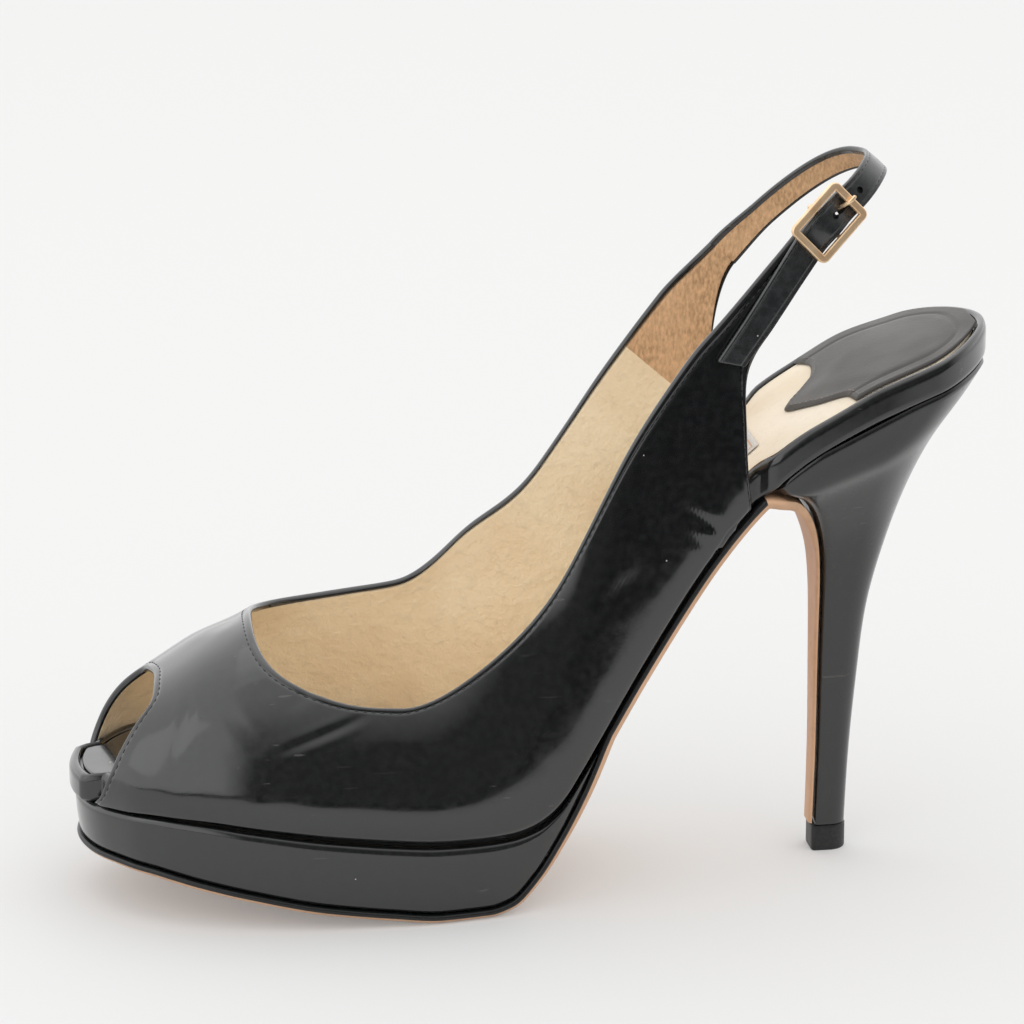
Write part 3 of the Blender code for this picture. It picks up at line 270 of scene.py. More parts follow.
# Edges of the two quarter straps each side of the path, as shares of the strap's
# width. Reach is the distance from the buckle's bar or from the joint, as a
# share of the free end's length.
OUTER_STRAP = table(
    "reach upper lower",
    (0.00, 0.49, 0.49),
    (0.06, 0.49, 0.49),
    (0.17, 0.54, 0.58),
    (0.56, 0.79, 0.58),
    (1.02, 1.06, 0.55),
)
INNER_STRAP = table(
    "reach upper lower",
    (0.00, 0.56, 0.52),
    (0.12, 0.62, 0.58),
    (0.28, 0.74, 0.56),
)
# Heel sections from the top lift up to the seat. Front and back are a point of
# each section on the breast and on the back of the heel; along is a share of the
# shoe's length, height of the seat's height, width of the seat's width.
HEEL_SECTIONS = table(
    "front_along front_height back_along back_height width",
    (0.8185, 0.0560, 0.8545, 0.0560, 0.146),
    (0.8205, 0.2200, 0.8590, 0.2230, 0.164),
    (0.8205, 0.3700, 0.8665, 0.3750, 0.190),
    (0.8205, 0.4900, 0.8755, 0.5030, 0.226),
    (0.8190, 0.5850, 0.8910, 0.6120, 0.300),
    (0.8130, 0.6560, 0.9090, 0.7120, 0.440),
    (0.8010, 0.7130, 0.9270, 0.7930, 0.620),
    (0.7840, 0.7510, 0.9460, 0.8600, 0.790),
    (0.7640, 0.7690, 0.9670, 0.9160, 0.920),
)


def smooth_curve(xs, ys):
    """Monotone cubic through the points, so level stretches stay level."""
    xs, ys = np.asarray(xs, float), np.asarray(ys, float)
    width = np.diff(xs)
    slope = np.diff(ys) / width
    tangent = np.zeros(len(xs))
    tangent[0], tangent[-1] = slope[0], slope[-1]
    for i in range(1, len(xs) - 1):
        if slope[i - 1] * slope[i] > 0.0:
            before, after = 2.0 * width[i] + width[i - 1], width[i] + 2.0 * width[i - 1]
            tangent[i] = (before + after) / (before / slope[i - 1] + after / slope[i])

    def value(x):
        x = np.clip(np.asarray(x, float), xs[0], xs[-1])
        i = np.clip(np.searchsorted(xs, x, side="right") - 1, 0, len(xs) - 2)
        t = (x - xs[i]) / width[i]
        rise = (3.0 - 2.0 * t) * t * t
        lead = t * (1.0 - t) ** 2 * width[i] * tangent[i]
        trail = t * t * (t - 1.0) * width[i] * tangent[i + 1]
        return ys[i] + (ys[i + 1] - ys[i]) * rise + lead + trail

    return value


def column(source, name, along="along"):
    return smooth_curve(source[along], source[name])


def unit(vectors):
    return vectors / np.maximum(np.linalg.norm(vectors, axis=-1, keepdims=True), 1e-12)


def travelled(points, least=0.0):
    """Distance along a line of points; least is added to each step."""
    return np.concatenate([[0.0], np.cumsum(np.linalg.norm(np.diff(points, axis=0), axis=1) + least)])


def read_at(wanted, at, values):
    """Points or normals known at some distances, read at others."""
    return np.stack([np.interp(wanted, at, values[:, k]) for k in range(3)], axis=-1)


def blend(value, start, end):
    t = np.clip((value - start) / (end - start), 0.0, 1.0)
    return t * t * (3.0 - 2.0 * t)


def world(points):
    """Points measured from the toe tip, moved to the part's own origin."""
    moved = np.array(points, float)
    moved[..., 0] -= TREAD_CENTRE
    return moved


INSOLE_CLIMB = column(SOLE_LINES, "insole_climb")
INSOLE_SPRING = column(SOLE_LINES, "insole_spring")
SOLE_CLIMB = column(SOLE_LINES, "sole_climb")
SOLE_SPRING = column(SOLE_LINES, "sole_spring")


def feather_height(along):
    """Underside of the insole, where the upper meets the sole."""
    rise = (SEAT_HEIGHT - TREAD_STACK) * INSOLE_CLIMB(along)
    return TREAD_STACK + rise + TOE_SPRING * INSOLE_SPRING(along)


def feather_slope(along, step=0.004):
    fore, back = np.maximum(along - step, 0.0), np.minimum(along + step, 1.0)
    return (feather_height(back) - feather_height(fore)) / ((back - fore) * LENGTH)


def upright_gap(along, gap=GAP):
    """Upright distance that leaves the gap square to the sloping insole."""
    return gap * np.sqrt(1.0 + feather_slope(along) ** 2)


def outsole_height(along):
    """Top of the outsole's edge."""
    thick = OUTSOLE_EDGE + TREAD_CROWN
    rise = (SEAT_HEIGHT - thick) * SOLE_CLIMB(along)
    free = thick + rise + TOE_SPRING * SOLE_SPRING(along)
    return np.minimum(free, feather_height(along) - upright_gap(along))


def half_width(along, side):
    ball = column(OUTLINE, "outer_ball" if side == OUTER else "inner_ball")(along)
    seat = column(OUTLINE, "seat")(along)
    width = 0.5 * (BALL_WIDTH * ball + SEAT_WIDTH * seat)
    toe = np.clip(1.0 - along * LENGTH / TOE_ROUND, 0.0, 1.0)
    back = np.clip(1.0 - (1.0 - along) * LENGTH / SEAT_ROUND, 0.0, 1.0)
    return width * np.sqrt(np.clip((1.0 - toe**2) * (1.0 - back**2), 0.0, 1.0))


def stations(start, end, middle, toe=0, back=0):
    """Shares of the length, closer together round the toe and the seat's back."""
    first, last = start, end
    parts = []
    if toe:
        first = TOE_ROUND / LENGTH
        turn = np.linspace(0.0, 0.5 * math.pi, toe + 1)
        parts.append(start + (first - start) * (1.0 - np.cos(turn))[:-1])
    if back:
        last = 1.0 - SEAT_ROUND / LENGTH
    parts.append(np.linspace(first, last, middle))
    if back:
        turn = np.linspace(0.0, 0.5 * math.pi, back + 1)
        parts.append(last + (end - last) * np.sin(turn)[1:])
    return np.concatenate(parts)


def plan_edges(along, inset):
    """The outline at these stations, moved inwards, as outer and inner points.

    inset is one distance for both sides, or a pair of them.
    """
    outer = np.stack([along * LENGTH, -half_width(along, OUTER)], axis=1)
    inner = np.stack([along * LENGTH, half_width(along, INNER)], axis=1)
    insets = inset if isinstance(inset, tuple) else (inset, inset)
    edges = []
    for mine, other, distance in ((outer, inner, insets[0]), (inner, outer, insets[1])):
        distance = np.broadcast_to(distance, along.shape)
        before = other[1] if abs(mine[0, 1]) < 1e-9 else 2.0 * mine[0] - mine[1]
        after = other[-2] if abs(mine[-1, 1]) < 1e-9 else 2.0 * mine[-1] - mine[-2]
        line = np.vstack([before, mine, after])
        tangent = unit(line[2:] - line[:-2])
        inwards = np.stack([-tangent[:, 1], tangent[:, 0]], axis=1)
        if mine is inner:
            inwards = -inwards
        moved = mine + inwards * distance[:, None]
        centre_side = np.sign(mine[1, 1])
        moved[:, 1] = centre_side * np.maximum(centre_side * moved[:, 1], 0.0)
        edges.append(moved)
    return edges


def loft(rings, closed=True, caps=(True, True)):
    """Vertices and faces of a skin over rings of equal size."""
    rings = np.asarray(rings, float)
    count, size = rings.shape[:2]
    faces = []
    for i in range(count - 1):
        for k in range(size if closed else size - 1):
            a, b = i * size + k, i * size + (k + 1) % size
            faces.append((a, b, b + size, a + size))
    if caps[0]:
        faces.append(tuple(range(size)))
    if caps[1]:
        faces.append(tuple(range((count - 1) * size, count * size)))
    return rings.reshape(-1, 3), faces


def shell(outer, inner):
    """Closed wall between two grids of points."""
    outer, inner = np.asarray(outer, float), np.asarray(inner, float)
    rows, size = outer.shape[:2]
    total = rows * size
    faces = []
    for i in range(rows - 1):
        for k in range(size - 1):
            a = i * size + k
            quad = (a, a + 1, a + 1 + size, a + size)
            faces.append(quad)
            faces.append(tuple(total + v for v in reversed(quad)))
    edge = list(range(size))
    edge += [i * size + size - 1 for i in range(1, rows)]
    edge += [(rows - 1) * size + k for k in range(size - 2, -1, -1)]
    edge += [i * size for i in range(rows - 2, 0, -1)]
    for a, b in zip(edge, edge[1:] + edge[:1]):
        faces.append((b, a, total + a, total + b))
    return np.vstack([outer.reshape(-1, 3), inner.reshape(-1, 3)]), faces


def sheet_rings(along, sides, low, high, across):
    """Rings of a sheet with a shaped edge.

    sides lists (inset, level) up the edge, where level 0 is on the low surface and
    1 on the high one; low and high turn shares of the length into heights.
    """
    edges = [plan_edges(along, inset) for inset, _ in sides]
    rings = []
    for i in range(len(along)):
        ring = []
        runs = [(0, sides[0][1], True), (len(sides) - 1, sides[-1][1], False)]
        for step, level, forward in runs:
            outer, inner = edges[step][0][i], edges[step][1][i]
            shares = np.linspace(0.0, 1.0, across + 1)
            for share in shares if forward else shares[::-1]:
                ring.append((*(outer + (inner - outer) * share), level))
            middle = range(1, len(sides) - 1)
            for k in middle if forward else reversed(middle):
                ring.append((*edges[k][1 if forward else 0][i], sides[k][1]))
        points = np.array(ring)
        at = np.clip(points[:, 0] / LENGTH, 0.0, 1.0)
        bottom, top = low(at), high(at)
        points[:, 2] = bottom + (top - bottom) * points[:, 2]
        rings.append(points)
    return rings


def insole_top(along):
    """Top of the insole, its thickness measured square to its slope."""
    lip = 1.0 + 0.12 * blend(along, 0.80, 0.88) + 0.15 * blend(along, 0.90, 1.0)
    return feather_height(along) + upright_gap(along, INSOLE) * lip


def insole_floor(along):
    """Top of the insole inside its rim."""
    return insole_top(along) - upright_gap(along, RECESS)


def last_point(along, height, side):
    """A point of the upper's outer face; height is a share of the vault."""
    along, height = np.asarray(along, float), np.clip(height, 0.0, 1.0)
    vault = VAMP_HEIGHT * column(VAULT, "outer" if side == OUTER else "inner")(along)
    lift = vault * height
    narrowing = np.sqrt(np.clip(1.0 - height**2, 0.0, 1.0)) ** 0.8
    fullness = BULGE * (lift / BULGE_AT) * np.exp(1.0 - lift / BULGE_AT)
    reach = half_width(along, side) * narrowing + fullness * narrowing
    return np.stack([along * LENGTH, side * reach, feather_height(along) + lift], axis=-1)


def strap_path():
    """The middle of the strap at even spacing."""
    knots = np.stack(
        [
            STRAP_PATH["along"] * LENGTH,
            STRAP_PATH["side"] * 0.5 * SEAT_WIDTH,
            STRAP_PATH["height"] * STRAP_HEIGHT,
        ],
        axis=1,
    )
    steps = travelled(knots)
    return natural_spline(steps, knots, np.linspace(0.0, steps[-1], 400))


def natural_spline(at, knots, wanted):
    """Natural cubic through the knots."""
    count = len(at)
    gaps = np.diff(at)
    system = np.eye(count)
    right = np.zeros_like(knots)
    for i in range(1, count - 1):
        system[i, i - 1 : i + 2] = gaps[i - 1], 2.0 * (gaps[i - 1] + gaps[i]), gaps[i]
        ahead = (knots[i + 1] - knots[i]) / gaps[i]
        behind = (knots[i] - knots[i - 1]) / gaps[i - 1]
        right[i] = 6.0 * (ahead - behind)
    bend = np.linalg.solve(system, right)
    i = np.clip(np.searchsorted(at, wanted, side="right") - 1, 0, count - 2)
    g = gaps[i][:, None]
    a, b = (at[i + 1] - wanted)[:, None], (wanted - at[i])[:, None]
    curve = (bend[i] * a**3 + bend[i + 1] * b**3) / (6.0 * g)
    curve += (knots[i] / g - bend[i] * g / 6.0) * a
    curve += (knots[i + 1] / g - bend[i + 1] * g / 6.0) * b
    return curve


class Strap:
    """The ribbon that the quarter straps and the sling strap share."""

    def __init__(self):
        points = strap_path()
        self.at = travelled(points)
        self.points = points
        tangent = unit(np.gradient(points, self.at, axis=0))
        lean = math.radians(STRAP_LEAN)
        upright = np.array([-math.sin(lean), 0.0, math.cos(lean)])
        width = unit(upright - tangent * (tangent @ upright)[:, None])
        self.tangent, self.width = tangent, width
        self.out = np.cross(tangent, width)
        back = int(np.argmax(points[:, 0]))
        if self.out[back, 0] < 0.0:
            self.out = -self.out
        outer_side = points[:, 1] < 0.0
        distance = np.where(outer_side, np.abs(points[:, 2] - BUCKLE_HEIGHT * STRAP_HEIGHT), 1.0)
        self.buckle = self.at[int(np.argmin(distance))]
        self.end = self.at[-1]

    def frame(self, at):
        """The path's point and its tangent, width and outward axes."""
        axes = [unit(read_at(at, self.at, axis)) for axis in (self.tangent, self.width, self.out)]
        return (read_at(at, self.at, self.points), *axes)

    def point(self, at, across, lift):
        """A point by distance along, distance across and height off the face."""
        middle, _, width, out = self.frame(at)
        return middle + width * np.asarray(across)[..., None] + out * np.asarray(lift)[..., None]


STRAP = Strap()
JOINT_BACK = 0.0100


def strap_column(at, upper, lower, count):
    """Points across the strap's outer face, from the lower edge to the upper."""
    across = np.linspace(-lower, upper, count)
    return STRAP.point(np.full(count, at), across, np.zeros(count))


def strip_columns(strip, side, rows):
    """Columns of the upper's outer face from the vamp's middle to the strap."""
    knots = np.concatenate([[0.0], np.cumsum(strip["columns"][:-1])])
    wanted = np.arange(0.0, knots[-1] + 0.5)
    low_along = smooth_curve(knots, strip["low_along"])(wanted)
    low_turn = smooth_curve(knots, np.arcsin(strip["low_height"]))(wanted)
    top_along = smooth_curve(knots, strip["top_along"])(wanted)
    top_turn = smooth_curve(knots, np.arcsin(strip["top_height"]))(wanted)
    shares = np.linspace(0.0, 1.0, rows)
    columns = []
    for i in range(len(wanted)):
        along = low_along[i] + (top_along[i] - low_along[i]) * shares
        turn = low_turn[i] + (top_turn[i] - low_turn[i]) * shares
        columns.append(last_point(along, np.sin(turn), side))
    return columns


def quarter_strap(edges, root, end, count, rows):
    """Columns of a quarter strap, from its root to its end."""
    columns = []
    for at in np.linspace(root, end, count):
        reach = abs(at - end) / FREE_END
        upper = STRAP_WIDTH * smooth_curve(edges["reach"], edges["upper"])(reach)
        lower = STRAP_WIDTH * smooth_curve(edges["reach"], edges["lower"])(reach)
        columns.append(strap_column(at, float(upper), float(lower), rows))
    return columns


def upper_grid(rows):
    """Outer face of the whole upper, from the outer strap to the inner one."""
    outer = strip_columns(OUTER_STRIP, OUTER, rows)
    inner = strip_columns(INNER_STRIP, INNER, rows)
    outer_root = STRAP.buckle - OUTER_STRAP["reach"][-1] * FREE_END
    outer_strap = quarter_strap(OUTER_STRAP, outer_root, STRAP.buckle, 12, rows)
    inner_joint = STRAP.end - JOINT_BACK
    inner_strap = quarter_strap(INNER_STRAP, STRAP.end - 0.001, inner_joint, 4, rows)
    return np.array((outer + outer_strap)[::-1] + (inner + inner_strap)[1:])


def soften(grid, start, end, rounds=3):
    """Evens out the columns round a join."""
    for _ in range(rounds):
        before, after = grid[start - 1 : end - 1], grid[start + 1 : end + 1]
        grid[start:end] = 0.25 * before + 0.5 * grid[start:end] + 0.25 * after
    return grid


def grid_normals(grid):
    """Outward normals of a grid of points."""
    along = np.gradient(grid, axis=0)
    up = np.gradient(grid, axis=1)
    return unit(np.cross(along, up))


def covered(along, side):
    """How far the insole stands in from the outline to make room for the upper."""
    strip = OUTER_STRIP if side == OUTER else INNER_STRIP
    on_sole = strip["low_along"][strip["low_height"] == 0.0]
    front = blend(along, on_sole.min() - 0.0065, on_sole.min() - 0.0015)
    rear = blend(along, on_sole.max() + 0.0060, on_sole.max() + 0.0300)
    lip = TOE_LIP * (1.0 - front)
    return (UPPER_WALL + 3.2 * GAP) * front * (1.0 - rear) - lip


# The pad's front edge, a bracket with its point on the middle line. Side is a
# share of the pad's half width.
PAD_FRONT = table(
    "side along",
    (-1.00, 0.837),
    (-0.75, 0.833),
    (-0.45, 0.802),
    (-0.12, 0.778),
    (0.10, 0.797),
    (0.35, 0.816),
    (0.65, 0.822),
    (1.00, 0.811),
)
LABEL_START, LABEL_END = 0.600, 0.742
LABEL_WIDTH = 0.0200


# Where the waist starts and where the sole bends down the breast of the heel
WAIST_START, SOLE_BEND = 0.56, 0.738


def sock_top(along):
    return insole_floor(along) + upright_gap(along, SOCK + GAP)


def heel_line(side):
    """Side view of the heel's front or back line, from the top lift up."""
    along, height = HEEL_SECTIONS[f"{side}_along"], HEEL_SECTIONS[f"{side}_height"]
    return np.stack([along * LENGTH, height * SEAT_HEIGHT], axis=1)


def sole_path(body, toe, waist, breast, foot):
    """Side view of the outsole's inner face: under the shoe, then down the breast."""
    along = [stations(0.0, WAIST_START, body, toe=toe), np.linspace(WAIST_START, SOLE_BEND, waist)[1:]]
    along = np.concatenate(along)
    base = np.stack([along * LENGTH, outsole_height(along)], axis=1)
    front = heel_line("front")[::-1]
    tangent = unit(np.gradient(np.vstack([base[-1], front]), axis=0))[1:]
    clear = front + np.stack([tangent[:, 1], -tangent[:, 0]], axis=1) * (2.0 * GAP)
    ahead = float(outsole_height(base[-1, 0] / LENGTH - 0.01))
    before = np.array([base[-1, 0] - 0.01 * LENGTH, ahead])
    knots = np.vstack([before, base[-1], clear])
    steps = travelled(knots)
    upper, lower = np.linspace(steps[1], steps[6], breast), np.linspace(steps[6], steps[-1], foot)
    flap = natural_spline(steps, knots, np.concatenate([upper[1:], lower[1:]]))
    flap[-1, 1] = TIP_HEIGHT + 2.0 * GAP
    return along, base, flap


def d_shape(count, flatness, corner, back=1.0):
    """Lengthwise and sideways shares round a D: a flat breast with round corners and a round back."""
    places = []
    for turn in np.linspace(0.0, 2.0 * math.pi, count, endpoint=False):
        lengthwise, side = math.cos(turn), math.sin(turn)
        if lengthwise < 0.0:
            places.append((-abs(lengthwise) ** flatness, math.copysign(abs(side) ** corner, side)))
        else:
            places.append((lengthwise**back, side))
    return places


def heel_ring(front, back, half, count):
    """A section of the heel between a point of its breast and a point of its back."""
    middle, reach = 0.5 * (front + back), 0.5 * (back - front)
    points = []
    for lengthwise, side in d_shape(count, 0.14, 0.30):
        place = middle + reach * lengthwise
        points.append((place[0], half * side, place[1]))
    return points


STRAP_LIFT = 1.7 * GAP + 0.5 * STRAP_LEATHER
EYE_CENTRE = -0.4 * GAP
EYE_OUTER = 0.5 * BUCKLE_BAR + GAP + 0.0010
FRAME_LIFT = 2.7 * GAP + STRAP_LEATHER + 0.5 * BUCKLE_WIRE
RAIL = 0.5 * (BUCKLE_OPENING_LENGTH + BUCKLE_WIRE)
POST = 0.5 * (BUCKLE_OPENING_WIDTH + BUCKLE_WIRE)


def sling_lift(at):
    """Height of the sling strap's middle over the quarter strap's face."""
    from_bar = at - STRAP.buckle
    crest = EYE_CENTRE + EYE_OUTER + GAP + 0.5 * STRAP_LEATHER
    bump = 0.5 * (1.0 + math.cos(math.pi * min(abs(from_bar) / (0.92 * RAIL), 1.0)))
    settled = float(blend(from_bar, 1.8 * RAIL, 4.5 * RAIL))
    low = STRAP_LIFT + (-0.5 * STRAP_LEATHER - STRAP_LIFT) * settled
    return low + (crest - STRAP_LIFT) * bump


def sling_half(at, joint):
    """Half width of the sling strap, as a share of the strap's width."""
    fresh = blend(at, STRAP.buckle - FREE_END, STRAP.buckle)
    back = blend(at, STRAP.buckle, STRAP.buckle + 0.5 * FREE_END)
    seam = blend(at, joint - 0.35 * FREE_END, joint)
    return float(0.43 + 0.07 * fresh - 0.05 * back + 0.10 * seam)


PRONG_HOLE_AT = 0.0046
HOLES = (
    (PRONG_HOLE_AT - HOLE_PITCH * 0.42, 1.0),
    (PRONG_HOLE_AT, 2.8),
    (PRONG_HOLE_AT + HOLE_PITCH, 1.0),
)


def buckle_point(along, across, lift):
    """A point of the flat buckle, by its own axes."""
    middle, tangent, width, out = STRAP.frame(STRAP.buckle)
    return world(middle + tangent * along + width * across + out * lift)


PRONG_LOOP = 0.5 * BUCKLE_BAR + 0.5 * PRONG_WIRE + 1.4 * GAP


# Meshes


def put(name, skin, finishes, stands_for=(), rule=None, seam=None):
    """A piece on the shoe's body, from its vertices and faces.

    rule turns face centres into material numbers. A seam, given as a point and a
    normal, cuts the faces that it crosses.
    """
    vertices, faces = skin
    mesh = bpy.data.meshes.new(name)
    mesh.from_pydata(np.asarray(vertices, float).tolist(), [], [tuple(face) for face in faces])
    shape = bmesh.new()
    shape.from_mesh(mesh)
    bmesh.ops.remove_doubles(shape, verts=shape.verts, dist=1e-6)
    if seam is not None:
        everything = [*shape.verts, *shape.edges, *shape.faces]
        bmesh.ops.bisect_plane(shape, geom=everything, plane_co=seam[0], plane_no=seam[1], dist=1e-6)
    bmesh.ops.recalc_face_normals(shape, faces=shape.faces)
    shape.to_mesh(mesh)
    shape.free()
    for finish in finishes:
        mesh.materials.append(finish)
    if rule is not None:
        assign(mesh, rule(np.array([tuple(face.center) for face in mesh.polygons])))
    mesh.shade_smooth()
    mesh.set_sharp_from_angle(angle=math.radians(50.0))
    piece = bpy.data.objects.new(name, mesh)
    bpy.context.scene.collection.objects.link(piece)
    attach(piece, "root")
    if stands_for:
        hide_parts(*stands_for)
    return piece


def assign(mesh, choice):
    """Gives each face the number of its material."""
    mesh.polygons.foreach_set("material_index", np.asarray(choice, dtype=np.int32))


def part(points):
    """World points back in the tables' frame, measured from the toe tip."""
    moved = np.array(points, float)
    moved[..., 0] += TREAD_CENTRE
    return moved


def rounded(profile, count):
    """A smooth line of count points through the corners of a profile."""
    profile = np.array(profile, float)
    steps = travelled(profile, 1e-6)
    wanted = np.linspace(0.0, steps[-1], count)
    return np.stack([smooth_curve(steps, values)(wanted) for values in profile.T], axis=1)


def ripple(points, size, seed, stretch=(1.0, 1.0, 1.0)):
    """Smooth noise from -1 to 1 at each point."""
    scaled = np.asarray(points) / (size * np.array(stretch)) + seed
    flat = scaled.reshape(-1, 3)
    return np.array([noise.noise(Vector(place)) for place in flat]).reshape(scaled.shape[:-1])


def stitches(name, runs, pitch, sewn, thread, material):
    """Rows of sewn stitches; each run is (points, outward normals) along a seam."""
    count = 6
    vertices, faces = [], []
    for points, normals in runs:
        steps = travelled(points)
        for start in np.arange(0.5 * pitch, steps[-1] - pitch, pitch):
            shares = np.linspace(0.0, 1.0, count)
            middle = read_at(start + sewn * shares, steps, points)
            up = unit(read_at(start + sewn * shares, steps, normals))
            side = unit(np.cross(unit(np.gradient(middle, axis=0)), up))
            arch = np.sin(math.pi * shares) ** 0.5
            first = len(vertices)
            for i in range(count):
                radius = 0.5 * thread * (0.35 + 0.65 * arch[i])
                centre = middle[i] + up[i] * thread * (0.5 * arch[i] - 0.42)
                for turn in np.linspace(0.0, 2.0 * math.pi, count, endpoint=False):
                    beside = centre + side[i] * radius * math.cos(turn)
                    vertices.append(beside + up[i] * radius * math.sin(turn))
            for i in range(count - 1):
                for k in range(count):
                    a, b = first + count * i + k, first + count * i + (k + 1) % count
                    faces.append((a, b, b + count, a + count))
            for end in (first, first + count * (count - 1)):
                faces.append(tuple(end + k for k in range(count)))
    return put(name, (vertices, faces), [material])


# Finishes


def group(name, inputs, outputs):
    """A new shader node group with its named sockets."""
    made = bpy.data.node_groups.new(name, "ShaderNodeTree")
    for label, kind, value in inputs:
        socket = made.interface.new_socket(label, in_out="INPUT", socket_type=kind)
        if value is not None:
            socket.default_value = value
    for label, kind in outputs:
        made.interface.new_socket(label, in_out="OUTPUT", socket_type=kind)
    start, end = made.nodes.new("NodeGroupInput"), made.nodes.new("NodeGroupOutput")
    return made, start.outputs, end.inputs


def feed(tree, socket, value):
    """Links a socket's value, or sets a plain one."""
    if isinstance(value, bpy.types.NodeSocket):
        tree.links.new(value, socket)
    else:
        socket.default_value = value


def node(tree, kind, links=(), **settings):
    """A node with its settings; links give inputs by name or number."""
    made = tree.nodes.new(kind)
    for key, value in settings.items():
        setattr(made, key, value)
    for key, value in dict(links).items():
        feed(tree, made.inputs[key], value)
    return made


def maths(tree, operation, *values, clamp=False):
    made = node(tree, "ShaderNodeMath", enumerate(values), operation=operation, use_clamp=clamp)
    return made.outputs[0]


def spread(tree, value, low, high, to_low=0.0, to_high=1.0):
    links = {"Value": value, "From Min": low, "From Max": high, "To Min": to_low, "To Max": to_high}
    return node(tree, "ShaderNodeMapRange", links, clamp=True).outputs[0]


def noise_node(tree, place, scale, detail):
    links = {"Vector": place, "Scale": scale, "Detail": detail}
    return node(tree, "ShaderNodeTexNoise", links).outputs


VALUE, VECTOR = "NodeSocketFloat", "NodeSocketVector"


def grain_group():
    """Pores and pebbles of leather."""
    if "leather_grain" in bpy.data.node_groups:
        return bpy.data.node_groups["leather_grain"]
    made, put_in, out = group(
        "leather_grain",
        [("Place", VECTOR, None), ("Size", VALUE, 0.0005), ("Unevenness", VALUE, 0.5)],
        [("Height", VALUE), ("Tone", VALUE)],
    )
    place = put_in["Place"]
    density = maths(made, "DIVIDE", 1.0, put_in["Size"])
    wander = noise_node(made, place, 260.0, 2.0)["Color"]
    bend = node(made, "ShaderNodeVectorMath", {0: wander, "Scale": 0.0006}, operation="SCALE").outputs[0]
    bent = node(made, "ShaderNodeVectorMath", {0: place, 1: bend}, operation="ADD").outputs[0]
    links = {"Vector": bent, "Scale": density, "Smoothness": 0.6}
    pebbles = node(made, "ShaderNodeTexVoronoi", links, feature="SMOOTH_F1")
    pores = noise_node(made, place, maths(made, "MULTIPLY", density, 2.6), 3.0)["Fac"]
    uneven = noise_node(made, place, 70.0, 3.0)["Fac"]
    patch = maths(made, "MULTIPLY", uneven, put_in["Unevenness"])
    body = maths(made, "SUBTRACT", pores, pebbles.outputs["Distance"])
    made.links.new(maths(made, "ADD", body, patch), out["Height"])
    made.links.new(spread(made, uneven, 0.3, 0.7), out["Tone"])
    return made


def dust_group():
    """Sparse pale specks and short scratches left on the surface."""
    if "dust_and_scratches" in bpy.data.node_groups:
        return bpy.data.node_groups["dust_and_scratches"]
    made, put_in, out = group(
        "dust_and_scratches",
        [("Place", VECTOR, None), ("Speck", VALUE, 0.0004), ("Amount", VALUE, 0.3)],
        [("Specks", VALUE), ("Scratches", VALUE)],
    )
    place, per_metre = put_in["Place"], 190.0
    cells = node(made, "ShaderNodeTexVoronoi", {"Vector": place, "Scale": per_metre}, feature="F1")
    reach = maths(made, "MULTIPLY", put_in["Speck"], per_metre)
    near = maths(made, "LESS_THAN", cells.outputs["Distance"], reach)
    pick = node(made, "ShaderNodeSeparateColor", {"Color": cells.outputs["Color"]})
    chosen = maths(made, "LESS_THAN", pick.outputs[0], put_in["Amount"])
    made.links.new(maths(made, "MULTIPLY", near, chosen), out["Specks"])
    links = {"Vector": place, "Rotation": (0.3, 0.5, 0.6), "Scale": (60.0, 900.0, 900.0)}
    lines = noise_node(made, node(made, "ShaderNodeMapping", links).outputs[0], 1.0, 1.0)["Fac"]
    where = noise_node(made, place, 45.0, 2.0)["Fac"]
    hair, patch = spread(made, lines, 0.70, 0.76), spread(made, where, 0.5, 0.62)
    made.links.new(maths(made, "MULTIPLY", hair, patch), out["Scratches"])
    return made


def wave_group():
    """Slow unevenness of a hand-lasted skin, which bends its reflections."""
    if "lasted_waves" in bpy.data.node_groups:
        return bpy.data.node_groups["lasted_waves"]
    made, put_in, out = group(
        "lasted_waves",
        [("Place", VECTOR, None), ("Size", VALUE, 0.02)],
        [("Height", VALUE), ("Fine", VALUE)],
    )
    scale = maths(made, "DIVIDE", 1.0, put_in["Size"])
    quick = maths(made, "MULTIPLY", scale, 9.0)
    made.links.new(noise_node(made, put_in["Place"], scale, 2.0)["Fac"], out["Height"])
    made.links.new(noise_node(made, put_in["Place"], quick, 3.0)["Fac"], out["Fine"])
    return made


def blank(name):
    """A material with its shader, its tree and the place on the shoe."""
    made = bpy.data.materials.new(name)
    made.use_nodes = True
    tree = made.node_tree
    shader = tree.nodes["Principled BSDF"]
    place = tree.nodes.new("ShaderNodeTexCoord").outputs["Object"]
    return made, tree, shader, place


def use(tree, built, **links):
    """Outputs of a node group, its inputs given by name."""
    made = tree.nodes.new("ShaderNodeGroup")
    made.node_tree = built
    for key, value in links.items():
        feed(tree, made.inputs[key], value)
    return made.outputs


def mix(tree, share, first, second):
    """A colour between two others; the numbers are the node's colour sockets."""
    made = node(tree, "ShaderNodeMix", {"Factor": share}, data_type="RGBA")
    for key, value in ((6, first), (7, second)):
        plain = not isinstance(value, bpy.types.NodeSocket)
        feed(tree, made.inputs[key], (*value, 1.0) if plain else value)
    return made.outputs[2]


def bump(tree, shader, height, distance, strength=1.0, before=None):
    links = {"Height": height, "Distance": distance, "Strength": strength}
    if before is not None:
        links["Normal"] = before
    made = node(tree, "ShaderNodeBump", links)
    tree.links.new(made.outputs[0], shader.inputs["Normal"])
    return made.outputs[0]


def set_up(tree, shader, **values):
    """Links or sets the shader's inputs, with underscores for the spaces in their names."""
    for key, value in values.items():
        feed(tree, shader.inputs[key.replace("_", " ")], value)


def tinted(hue, share):
    return [min(c * share, 1.0) for c in hue]


